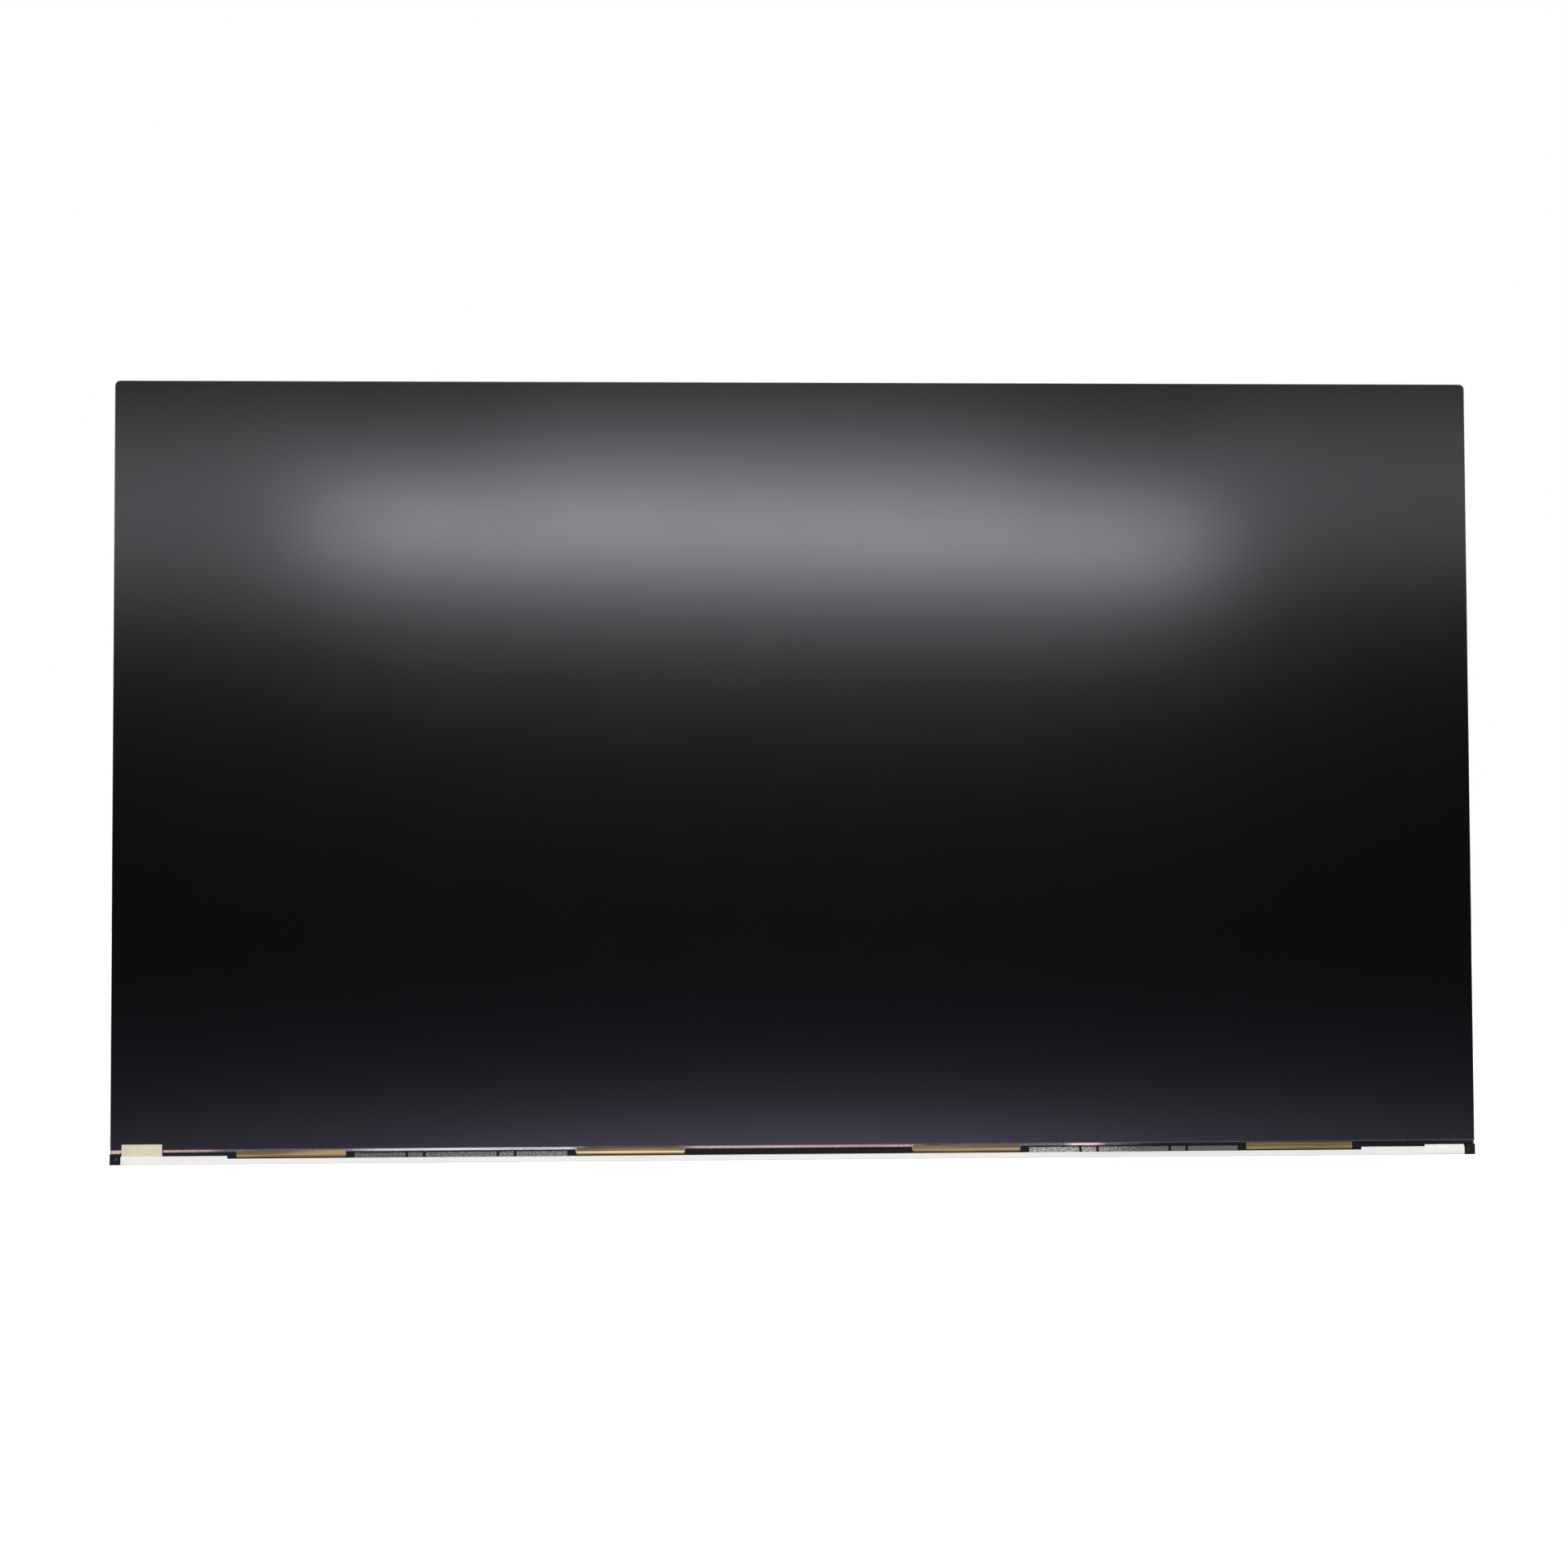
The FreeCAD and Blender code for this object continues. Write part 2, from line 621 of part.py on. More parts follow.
def folded_strip(label, x, width, start, run, end, fold):
    """Sweeps a thin strip that comes down or back from its start, folds, and runs up behind."""
    body = new_body(label)
    path = sketch_on(body, "YZ_Plane", x)
    radius = solve(fold)
    begin = vector(start)
    finish = vector(end)
    low = solve(run)
    section_left = f"{x} - {width} / 2"
    section_right = f"{x} + {width} / 2"
    rear_arc = Part.ArcOfCircle(
        Part.Circle(FreeCAD.Vector(finish.x - radius, low + radius, 0), UP, radius),
        1.5 * math.pi, 2 * math.pi)
    rear_line = Part.LineSegment(FreeCAD.Vector(finish.x, low + radius, 0), finish)
    if begin.y > low + radius:
        corner = FreeCAD.Vector(begin.x, low + radius, 0)
        front_arc = Part.ArcOfCircle(
            Part.Circle(FreeCAD.Vector(begin.x + radius, low + radius, 0), UP, radius),
            math.pi, 1.5 * math.pi)
        floor_line = Part.LineSegment(FreeCAD.Vector(begin.x + radius, low, 0),
                                      FreeCAD.Vector(finish.x - radius, low, 0))
        chain = [Part.LineSegment(begin, corner), front_arc, floor_line, rear_arc, rear_line]
        straight = {0: "Vertical", 2: "Horizontal", 4: "Vertical"}
        section = sketch_on(body, "XY_Plane", start[1])
        rectangle(section, section_left, section_right,
                  f"{start[0]} - film_thickness / 2", f"{start[0]} + film_thickness / 2")
    else:
        floor_line = Part.LineSegment(begin, FreeCAD.Vector(finish.x - radius, low, 0))
        chain = [floor_line, rear_arc, rear_line]
        straight = {0: "Horizontal", 2: "Vertical"}
        section = facing_sketch(body, start[0])
        rectangle(section, section_left, section_right,
                  f"{start[1]} - film_thickness / 2", f"{start[1]} + film_thickness / 2")
    items = [path.addGeometry(piece) for piece in chain]
    for item, following in zip(items, items[1:]):
        path.addConstraint(Sketcher.Constraint("Tangent", item, 2, following, 1))
    for number, way in straight.items():
        path.addConstraint(Sketcher.Constraint(way, items[number]))
    for number, piece in enumerate(chain):
        if isinstance(piece, Part.ArcOfCircle):
            set_radius(path, items[number], fold)
    pin_point(path, items[0], 1, start)
    if len(items) > 3:
        pin(path, "DistanceY", items[2], 1, run)
    pin_point(path, items[-1], 2, end)
    doc.recompute()
    sweep = body.newObject("PartDesign::AdditivePipe", "Sweep")
    sweep.Profile = section
    sweep.Spine = (path, [f"Edge{number}" for number in range(1, len(items) + 1)])
    doc.recompute()


def source_films():
    """Makes the films that fold from the glass ledge round to the board, each with its chip."""
    for number in range(FILM_COUNT):
        middle = film_x(number)
        start = (f"({LEDGE} - film_thickness / 2)", BOND_TOP)
        end = (f"({BOARD_REAR} + film_thickness / 2)", f"({BOARD_LOW} + board_bond_length)")
        folded_strip(f"source_film_{number + 1}", middle, "film_width", start, FILM_RUN, end, "film_fold")
        slab(f"driver_chip_{number + 1}",
             (f"{middle} - chip_width / 2", f"{middle} + chip_width / 2"),
             (FILM_REAR, f"({FILM_REAR} + chip_thickness)"),
             (f"({CHIP_Z} - chip_height / 2)", f"({CHIP_Z} + chip_height / 2)"))


def press(body, draw, height):
    """Presses outlines out of the chassis sheet: raised behind and hollow in front."""
    raised = facing_sketch(body, REAR)
    draw(raised, "0")
    outside = pad(body, raised, height, taper="-draft_angle", Reversed=True)
    hollow = facing_sketch(body, PAN)
    draw(hollow, "chassis_sheet")
    return [outside, pocket(body, hollow, height, taper="-draft_angle")]


def first_screw():
    """Gives the place of the leftmost cover screw: there is one between each two films."""
    return spread(0, SCREW_COUNT, FILM_PITCH), SCREW_Z


def chassis_pan(body):
    """Folds the sheet up at its four sides, with a relief cut at each corner."""
    sketch = facing_sketch(body, REAR)
    rectangle(sketch, f"-{HALF_WALL}", HALF_WALL, WALL_LOW, WALL_TOP)
    block = pad(body, sketch, f"{REAR} - {RIM}")
    dress(body, "Fillet", block, edges_at_depth(block, REAR), "chassis_fold_radius")
    inside = facing_sketch(body, RIM)
    rectangle(inside, f"-{HALF_PAN}", HALF_PAN, PAN_LOW, PAN_TOP)
    pocket(body, inside, f"{PAN} - {RIM}")
    reliefs = facing_sketch(body, RIM)
    side = f"({HALF_WALL} - chassis_corner_relief)"
    for low, high in ((WALL_LOW, f"{WALL_LOW} + chassis_corner_relief"),
                      (f"{WALL_TOP} - chassis_corner_relief", WALL_TOP)):
        rectangle(reliefs, f"-{HALF_WALL}", f"-{side}", low, high)
        rectangle(reliefs, side, HALF_WALL, low, high)
    pocket(body, reliefs, f"{REAR} - {RIM}")


def mount_pads(body):
    """Raises the four pads of the fixing holes, each with a tapped collar inside."""
    places = [("-mount_spacing_x / 2", f"{end} * mount_spacing_z / 2") for end in ("-1", "1")]

    def squares(sketch, shrink):
        for place in places:
            cut_square(sketch, place, f"mount_pad_width - 2 * {shrink}", "pad_corner_cut")

    steps = press(body, squares, "pad_height")
    collars = facing_sketch(body, "-chassis_sheet / 2")
    holes = facing_sketch(body, PAN)
    for place in places:
        circle(collars, place, "mount_hole_radius + collar_wall")
        circle(holes, place, "mount_hole_radius")
    mirror(body, steps + [pad(body, collars, "collar_length"), pocket(body, holes, f"0 - {PAN}")])


def screw_pads(body):
    """Raises the pads that take the cover screws."""
    def square(sketch, shrink):
        cut_square(sketch, first_screw(), f"screw_pad_width - 2 * {shrink}", "pad_corner_cut")

    steps = press(body, square, "pad_height")
    hole = facing_sketch(body, PAN)
    circle(hole, first_screw(), "screw_radius + screw_hole_play")
    steps.append(pocket(body, hole, f"0 - {PAN}"))
    repeat(body, steps, "X_Axis", f"{SCREW_COUNT - 1} * {FILM_PITCH}", SCREW_COUNT)


def chassis_beads(body):
    """Presses the stiffening beads: a row of upright ones between two long level ones."""
    def upright(sketch, shrink):
        first = spread(0, BEAD_COUNT, "bead_pitch")
        slot(sketch, (first, f"{LOWER_BEAD} + bead_end_gap"), (first, f"{UPPER_BEAD} - bead_end_gap"),
             f"bead_radius - {shrink}")

    def level(sketch, shrink):
        for height in (UPPER_BEAD, LOWER_BEAD):
            slot(sketch, ("-cross_bead_span / 2", height), ("cross_bead_span / 2", height),
                 f"bead_radius - {shrink}")

    press(body, level, "bead_height")
    repeat(body, press(body, upright, "bead_height"), "X_Axis", f"{BEAD_COUNT - 1} * bead_pitch", BEAD_COUNT)


def rear_chassis():
    """Makes the pressed steel pan that holds everything and carries the fixing holes."""
    body = new_body("rear_chassis")
    chassis_pan(body)
    mount_pads(body)
    screw_pads(body)
    chassis_beads(body)
    tail_slot = facing_sketch(body, PAN)
    half_slot = "(lamp_tail_width / 2 + lamp_slot_play)"
    rectangle(tail_slot, f"{LAMP_TAIL_X} - {half_slot}", f"{LAMP_TAIL_X} + {half_slot}",
              LAMP_BOARD_FOOT, f"({LAMP_FOOT} + lamp_tail_fold + lamp_slot_play)")
    pocket(body, tail_slot, "chassis_sheet")
    top_hooks = sketch_on(body, "XY_Plane", WALL_TOP)
    hook_outlines(top_hooks, "top", "0")
    pad(body, top_hooks, "hook_reach")
    side_hooks = sketch_on(body, "YZ_Plane", HALF_WALL)
    hook_outlines(side_hooks, "side", "0")
    mirror(body, [pad(body, side_hooks, "hook_reach")])


def rail_windows(body):
    """Opens the rail for the films and sinks the panels between them."""
    window = facing_sketch(body, FRONT)
    reach = "(film_width / 2 + window_play)"
    first = film_x(0)
    rectangle(window, f"{first} - {reach}", f"{first} + {reach}", WINDOW_LOW, FILTER_LOW)
    opening = pocket(body, window, f"{RAIL_REAR} - {FRONT}")
    repeat(body, [opening], "X_Axis", f"{FILM_COUNT - 1} * {FILM_PITCH}", FILM_COUNT)
    recess = facing_sketch(body, FRONT)
    half_block = f"({FILM_PITCH} / 2 - {reach} - post_width)"
    middle = spread(0, SCREW_COUNT, FILM_PITCH)
    ribs = ["-outer_rib_place", "-inner_rib_place", "inner_rib_place", "outer_rib_place"]
    starts = [f"-{half_block}"] + [f"{rib} + recess_rib / 2" for rib in ribs]
    ends = [f"{rib} - recess_rib / 2" for rib in ribs] + [half_block]
    for start, end in zip(starts, ends):
        rectangle(recess, f"{middle} + ({start})", f"{middle} + ({end})", WINDOW_LOW, f"{RAIL_TOP} - recess_rim")
    panels = pocket(body, recess, "recess_depth")
    repeat(body, [panels], "X_Axis", f"{SCREW_COUNT - 1} * {FILM_PITCH}", SCREW_COUNT)


def bottom_rail():
    """Makes the black rail: a channel for the glass edge, open at the films, with end lugs."""
    body = new_body("bottom_rail")
    channel = sketch_on(body, "YZ_Plane", "0")
    outline(channel, [
        (FRONT, COVER_FLOOR), (RAIL_REAR, COVER_FLOOR), (RAIL_REAR, FRAME_LOW), (RAIL_BACK, FRAME_LOW),
        (RAIL_BACK, RAIL_FLOOR), (RAIL_WALL_REAR, RAIL_FLOOR), (RAIL_WALL_REAR, RAIL_TOP), (FRONT, RAIL_TOP)])
    pad(body, channel, f"2 * {HALF_RAIL}", SideType="Symmetric")
    lugs = facing_sketch(body, LUG_REAR)
    holes = facing_sketch(body, LIP)
    for side in ("-1", "1"):
        inner = f"{side} * {HALF_RAIL}"
        outer = f"{side} * {HALF_GLASS}"
        rectangle(lugs, inner, outer, COVER_LOW, LUG_TOP)
        circle(holes, (f"{side} * ({HALF_GLASS} - lug_width / 2)", f"({COVER_LOW} + {LUG_TOP}) / 2"),
               "lug_hole_radius")
    pad(body, lugs, f"{LUG_REAR} - {LIP}")
    groove = sketch_on(body, "YZ_Plane", "0")
    outline(groove, [
        (RAIL_WALL_REAR, RAIL_FLOOR), (RAIL_BACK, RAIL_FLOOR), (RAIL_BACK, FRAME_LOW), (LUG_REAR, FRAME_LOW),
        (LUG_REAR, FILTER_LOW), (RAIL_WALL_REAR, FILTER_LOW)])
    pocket(body, groove, f"2 * {HALF_GLASS}", SideType="Symmetric")
    pocket(body, holes, f"{LUG_REAR} - {LIP}")
    rail_windows(body)


def cover_wells(body):
    """Presses the rear wall in to the chassis pads where the screws go."""
    first = first_screw()
    seat = facing_sketch(body, COVER_SKIN)
    cut_square(seat, first, "well_width", "pad_corner_cut")
    hollow = facing_sketch(body, COVER_REAR)
    cut_square(hollow, first, "well_width - cover_sheet", "pad_corner_cut")
    hole = facing_sketch(body, "0")
    circle(hole, first, "screw_radius + screw_pass_play")
    steps = [
        pad(body, seat, COVER_SKIN, taper="-well_draft"),
        pocket(body, hollow, f"{COVER_REAR} - cover_sheet", taper="-well_draft", Reversed=True),
        pocket(body, hole, "cover_sheet"),
    ]
    repeat(body, steps, "X_Axis", f"{SCREW_COUNT - 1} * {FILM_PITCH}", SCREW_COUNT)


def bottom_cover():
    """Makes the folded pale strip that wraps the lower edge and covers the source board."""
    body = new_body("bottom_cover")
    profile = sketch_on(body, "YZ_Plane", "0")
    return_low = f"({COVER_TOP} - cover_sheet)"
    outline(profile, [
        (LIP, COVER_LOW), (COVER_REAR, COVER_LOW), (COVER_REAR, COVER_TOP), (REAR, COVER_TOP),
        (REAR, return_low), (COVER_SKIN, return_low), (COVER_SKIN, COVER_FLOOR), (FRONT, COVER_FLOOR),
        (FRONT, LIP_END_TOP), (LIP, LIP_END_TOP)])
    strip = pad(body, profile, f"2 * {HALF_COVER}", SideType="Symmetric")
    folds = edges_along(strip, "x", y=LIP, z=COVER_LOW)
    folds += edges_along(strip, "x", y=COVER_REAR, z=COVER_LOW)
    folds += edges_along(strip, "x", y=COVER_REAR, z=COVER_TOP)
    dress(body, "Fillet", strip, folds, "cover_fold_radius")
    lip = facing_sketch(body, LIP)
    rectangle(lip, f"-{LIP_MIDDLE}", LIP_MIDDLE, LIP_TOP, LIP_END_TOP)
    pocket(body, lip, "cover_sheet")
    cover_wells(body)
    notches = facing_sketch(body, REAR)
    reach = "(signal_connector_width / 2 + notch_play)"
    rectangle(notches, f"signal_connector_place - {reach}", f"signal_connector_place + {reach}",
              f"({BOARD_TOP} - notch_drop)", COVER_TOP)
    rectangle(notches, f"({LAMP_TAIL_X} - lamp_connector_width / 2 - notch_play)", HALF_COVER,
              f"({LAMP_CONNECTOR_TOP} - notch_drop)", COVER_TOP)
    pocket(body, notches, "cover_depth")


def cover_screws():
    """Makes the three screws that hold the cover to the chassis pads."""
    body = new_body("cover_screws", many=True)
    first = first_screw()
    head = facing_sketch(body, "cover_sheet")
    circle(head, first, "screw_head_radius")
    shank = facing_sketch(body, "cover_sheet")
    circle(shank, first, "screw_radius")
    parts = [pad(body, head, "screw_head_height", Reversed=True), pad(body, shank, "screw_length")]
    repeat(body, parts, "X_Axis", f"{SCREW_COUNT - 1} * {FILM_PITCH}", SCREW_COUNT)


def source_board():
    """Makes the long board behind the lower edge and the film that insulates it."""
    half = "(board_width / 2 + insulator_margin)"
    slab("board_insulator", (f"-{half}", half), (REAR, f"({REAR} + insulator_thickness)"),
         (f"({BOARD_LOW} - insulator_margin)", f"({BOARD_TOP} + insulator_margin)"))
    body = new_body("source_board")
    sketch = facing_sketch(body, BOARD_REAR)
    rectangle(sketch, "-board_width / 2", "board_width / 2", BOARD_LOW, BOARD_TOP)
    plate = pad(body, sketch, "board_thickness")
    dress(body, "Chamfer", plate, edges_along(plate, "y", z=BOARD_TOP), "board_corner_cut")
    holes = facing_sketch(body, f"({BOARD_REAR} - board_thickness)")
    for side in ("-1", "1"):
        circle(holes, (f"{side} * (board_width / 2 - board_hole_inset)", f"({BOARD_LOW} + board_hole_inset)"),
               "board_hole_radius")
    pocket(body, holes, "board_thickness")


def board_block(label, place, side, thickness):
    """Makes a square packaged component that stands on the board."""
    body = new_body(label)
    sketch = facing_sketch(body, BOARD_REAR)
    half = f"{side} / 2"
    rectangle(sketch, f"{place} - {half}", f"{place} + {half}",
              f"{BOARD_MID} - {half}", f"{BOARD_MID} + {half}")
    block = pad(body, sketch, thickness, Reversed=True)
    dress(body, "Chamfer", block, edges_along(block, "y"), "part_corner_cut")


def board_capacitors():
    """Makes the small capacitors in a row above each film."""
    body = new_body("board_capacitors", many=True)
    sketch = facing_sketch(body, BOARD_REAR)
    low = f"({BOARD_LOW} + capacitor_rise)"
    for number in range(CAPACITORS_PER_FILM):
        middle = f"({film_x(0)} + {spread(number, CAPACITORS_PER_FILM, 'capacitor_pitch')})"
        rectangle(sketch, f"{middle} - capacitor_length / 2", f"{middle} + capacitor_length / 2",
                  low, f"{low} + capacitor_width")
    row = pad(body, sketch, "capacitor_width", Reversed=True)
    repeat(body, [row], "X_Axis", f"{FILM_COUNT - 1} * {FILM_PITCH}", FILM_COUNT)


def connector(label, place, width, seat, top):
    """Makes a socket that lies on its seat with its mouth at the top."""
    body = new_body(label)
    sketch = facing_sketch(body, seat)
    rectangle(sketch, f"{place} - {width} / 2", f"{place} + {width} / 2", f"{top} - connector_height", top)
    pad(body, sketch, "connector_thickness", Reversed=True)
    mouth = sketch_on(body, "XY_Plane", top)
    rectangle(mouth, f"{place} - {width} / 2 + connector_wall", f"{place} + {width} / 2 - connector_wall",
              f"{seat} + connector_wall", f"{seat} + connector_thickness - connector_wall")
    pocket(body, mouth, "connector_mouth_depth")


def board_parts():
    """Makes what stands on the source board."""
    board_block("timing_chip", "timing_chip_place", "timing_chip_side", "timing_chip_thickness")
    board_block("power_chip", "power_chip_place", "power_chip_side", "power_chip_thickness")
    board_block("power_coil", "coil_place", "coil_side", "coil_thickness")
    board_capacitors()
    connector("signal_connector", "signal_connector_place", "signal_connector_width", BOARD_REAR, BOARD_TOP)


def lamp_lead():
    """Makes the flexible tail of the lamp board and the connector at its end."""
    start = (f"({PAN} - lamp_tail_start)", f"({LAMP_FOOT} + film_thickness / 2)")
    end = (f"({REAR} + film_thickness / 2)", LAMP_CONNECTOR_TOP)
    folded_strip("lamp_tail", LAMP_TAIL_X, "lamp_tail_width", start, start[1], end, "lamp_tail_fold")
    connector("lamp_connector", LAMP_TAIL_X, "lamp_connector_width", LAMP_TAIL_REAR, LAMP_CONNECTOR_TOP)


def ledge_tapes():
    """Makes the two short tapes over the ends of the ledge."""
    outer = f"({HALF_COVER} - tape_end_gap)"
    inner = f"({outer} - ledge_tape_width)"
    slab("left_ledge_tape", (f"-{outer}", f"-{inner}"), (f"({FRONT} - ledge_tape_thickness)", FRONT),
         (LIP_END_TOP, f"({FILTER_LOW} + ledge_tape_overlap)"))
    slab("right_ledge_tape", (inner, outer), (f"({LIP} - ledge_tape_thickness)", LIP),
         (f"({COVER_LOW} + cover_fold_radius + end_tape_foot)", f"({LIP_END_TOP} + end_tape_rise)"))


def check_document():
    """Stops if any object failed or any sub-part has no sound shape."""
    for item in doc.Objects:
        if "Invalid" in item.State or "Error" in item.State:
            raise RuntimeError(f"{item.Label} is {item.State}")
    for item in subparts:
        if item.Shape.isNull() or not item.Shape.isValid():
            raise RuntimeError(f"{item.Label} has no sound shape")


glass_cell()
cell_tape()
middle_frame()
optical_stack()
guide_stoppers()
lamp_row()
rear_chassis()
source_films()
bottom_rail()
bottom_cover()
cover_screws()
source_board()
board_parts()
lamp_lead()
ledge_tapes()
doc.recompute()
check_document()

os.makedirs("parts", exist_ok=True)
for item in subparts:
    item.Shape.exportStep(f"parts/{item.Label}.step")
    print(f"{item.Label}: {len(item.Shape.Solids)} solid(s), {item.Shape.Volume:.1f} cubic mm")
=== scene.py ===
# LCD panel standing on a pale floor, seen from the front: finishes, small parts, light and camera.
import json
import math

import bmesh
import bpy
from mathutils import Matrix, Vector


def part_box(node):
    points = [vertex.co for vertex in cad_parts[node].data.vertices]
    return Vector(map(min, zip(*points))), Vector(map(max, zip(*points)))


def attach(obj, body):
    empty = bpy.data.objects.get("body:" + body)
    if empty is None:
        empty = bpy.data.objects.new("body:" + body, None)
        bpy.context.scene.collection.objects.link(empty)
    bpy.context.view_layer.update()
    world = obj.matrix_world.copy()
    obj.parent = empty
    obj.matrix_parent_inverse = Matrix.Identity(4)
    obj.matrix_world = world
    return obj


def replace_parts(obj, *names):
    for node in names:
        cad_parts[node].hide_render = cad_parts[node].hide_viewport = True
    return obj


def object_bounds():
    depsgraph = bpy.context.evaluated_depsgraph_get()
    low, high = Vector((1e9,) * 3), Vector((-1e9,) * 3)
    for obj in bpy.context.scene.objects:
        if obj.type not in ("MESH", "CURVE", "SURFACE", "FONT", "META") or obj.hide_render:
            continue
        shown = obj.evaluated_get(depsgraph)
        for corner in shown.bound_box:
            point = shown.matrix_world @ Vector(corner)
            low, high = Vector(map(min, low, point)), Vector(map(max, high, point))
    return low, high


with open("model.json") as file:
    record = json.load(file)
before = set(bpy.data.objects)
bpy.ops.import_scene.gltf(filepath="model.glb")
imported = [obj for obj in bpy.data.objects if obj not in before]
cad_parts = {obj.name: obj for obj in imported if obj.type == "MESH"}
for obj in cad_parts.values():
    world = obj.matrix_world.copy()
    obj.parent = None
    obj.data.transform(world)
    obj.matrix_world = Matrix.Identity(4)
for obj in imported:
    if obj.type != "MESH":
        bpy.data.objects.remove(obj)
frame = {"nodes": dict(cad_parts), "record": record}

cad_box = [list(corner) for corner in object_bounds()]

MM = 0.001
NODES = frame["nodes"]
BODY = "root"
BLACK = (0, 0, 0)
WHITE = (1, 1, 1)

# Noise mostly lies between these two values
NOISE_LOW = 0.3
NOISE_HIGH = 0.7

# The colour sockets of a mix node, by their place
MIX_FIRST = 6
MIX_SECOND = 7
MIX_RESULT = 2

# Plain finishes: how deep the grain is, and how much coarser than it the gloss varies
GRAIN_DEPTH = 0.02 * MM
GLOSS_COARSENESS = 7

# Black moulded plastic: its two tones, its gloss and its grain
PLASTIC_DARK = (0.005, 0.005, 0.006)
PLASTIC_LIGHT = (0.012, 0.012, 0.014)
PLASTIC_ROUGHNESS = (0.3, 0.45)
PLASTIC_GRAIN = 2600

# Half the width of the glass ledge, how far the films show on it, and how deep the rail's panels are sunk
LEDGE_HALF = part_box("array_glass")[1].x
FILM_SHOW = 3.65 * MM
RECESS_DEPTH = 0.25 * MM

# The share of its shortest side that each edge of a small box is softened by
BOX_SOFTNESS = 0.2

# The print on the ledge: the glass left bare round it, its thickness and the cut of its lower corners
PRINT_MARGIN = 0.3 * MM
PRINT_THICKNESS = 0.01 * MM
LEDGE_CORNER_CUT = 1.25 * MM

# The copper pads: their number and sizes, how far in from the side they begin and how far down they reach
PAD_COUNT = 2
PAD_WIDTH = 1.4 * MM
PAD_HEIGHT = 1.2 * MM
PAD_THICKNESS = 0.05 * MM
PAD_PITCH = 1.75 * MM
PAD_INSET = 0.5 * MM
PAD_DROP = 1.35 * MM

# The sockets' contacts: pitches, room for the end walls, half width, place off the board and below the mouth
SIGNAL_PITCH = 1.2 * MM
LAMP_PITCH = 1.25 * MM
CONTACT_END_ROOM = 2.4 * MM
CONTACT_HALF = 0.22 * MM
CONTACT_NEAR = 0.55 * MM
CONTACT_FAR = 0.75 * MM
CONTACT_ROOT = 3.35 * MM
CONTACT_TIP = 0.5 * MM

# The contacts' solder feet: thickness, and how far they reach below the socket and into it
FOOT_THICKNESS = 0.16 * MM
FOOT_REACH = 0.9 * MM
FOOT_TUCK = 0.1 * MM

# The signal socket's shell: its sheet, and how much of the socket it leaves free at the ends, foot and mouth
SHELL_THICKNESS = 0.15 * MM
SHELL_END_ROOM = 1.6 * MM
SHELL_FOOT_ROOM = 0.5 * MM
SHELL_MOUTH_ROOM = 1.9 * MM

# The tongues at the shell's mouth and the solder ears at its ends: places and sizes
TONGUE_COUNT = 5
TONGUE_START = 4.2 * MM
TONGUE_PITCH = 6.6 * MM
TONGUE_WIDTH = 3.2 * MM
TONGUE_ROOT = 1.95 * MM
TONGUE_TIP = 0.7 * MM
EAR_REACH = 1.6 * MM
EAR_THICKNESS = 0.5 * MM
EAR_BOTTOM = 0.6 * MM
EAR_TOP = 3.2 * MM

# The cover screws: head height, shank as a share of the head, its tapered tip and the sides of the round
SCREW_HEAD = 1.1 * MM
SHANK_SHARE = 10 / 21
TIP_SHARE = 0.8
TIP_LENGTH = 0.25 * MM
SCREW_SIDES = 32

# The domed head: shares of its radius, with heights over the seat and then with depths below the top
DOME_RISES = ((1.0, 0.0), (1.0, 0.45 * MM), (0.9, 0.75 * MM), (0.7, 0.98 * MM))
DOME_DROPS = ((0.4, 0.02 * MM), (0.12, 0.0))

# The arms of the cross recess
CROSS_REACH = 1.15 * MM
CROSS_HALF = 0.22 * MM
CROSS_DEPTH = 0.7 * MM

# The photograph's frame and the camera that took it: turns in degrees, places in metres
IMAGE_SIZE = 1932
FOCAL_PIXELS = 2400
SENSOR_WIDTH = 36.0
CAMERA_TURN = {"X": -1.71, "Y": -1.61, "Z": -0.16}
SCREEN_FROM_CAMERA = Vector((5.3, -8.8, 767.2)) * MM

# Four strip lights that show in the screen: both ends of each there, in the photograph's pixels
NEAR_STRIP = ((392, 646), (1484, 668))
SHORT_STRIP = ((640, 585), (1250, 592))
LEFT_STRIP = ((-320, 624), (400, 620))
RIGHT_STRIP = ((1485, 602), (2080, 590))

# The strips' heights, the depth at which they hang, and their powers in watts
NEAR_STRIP_HEIGHT = 15 * MM
SIDE_STRIP_HEIGHT = 160 * MM
STRIP_DEPTH = -1.2
NEAR_STRIP_POWER = 2.79
SHORT_STRIP_POWER = 0.27
LEFT_STRIP_POWER = 0.73
RIGHT_STRIP_POWER = 0.54

# The soft box above and the one behind: places, targets and sizes in metres, powers in watts
SOFT_BOX_PLACE = Vector((-0.3, -1.0, 1.5))
SOFT_BOX_TARGET = Vector((0, 0, -0.05))
SOFT_BOX_SIZE = (1.4, 0.9)
SOFT_BOX_POWER = 29
REAR_BOX_PLACE = Vector((1.1, 0.7, 0.9))
REAR_BOX_TARGET = Vector((0, 0, 0))
REAR_BOX_SIZE = (0.7, 0.5)
REAR_BOX_POWER = 18

# The white surround lights the panel this strongly, where 1 is the white that shows
SURROUND_LIGHT = 0.4

# The floor: its reach and tone, the least white of its own that it shows, and from where to where that grows
FLOOR_REACH = 2.0
FLOOR_TONE = 0.6
FLOOR_GLOW = 0.45
FLOOR_GLOW_START = 0.5
FLOOR_GLOW_END = 1.6

# The dark sweep before the panel: where it begins and rises, its height and half width, and its lift
CARD_START = -28 * MM
CARD_RISE = -1.4
CARD_SIDE = 3.0
CARD_LIFT = 1 * MM

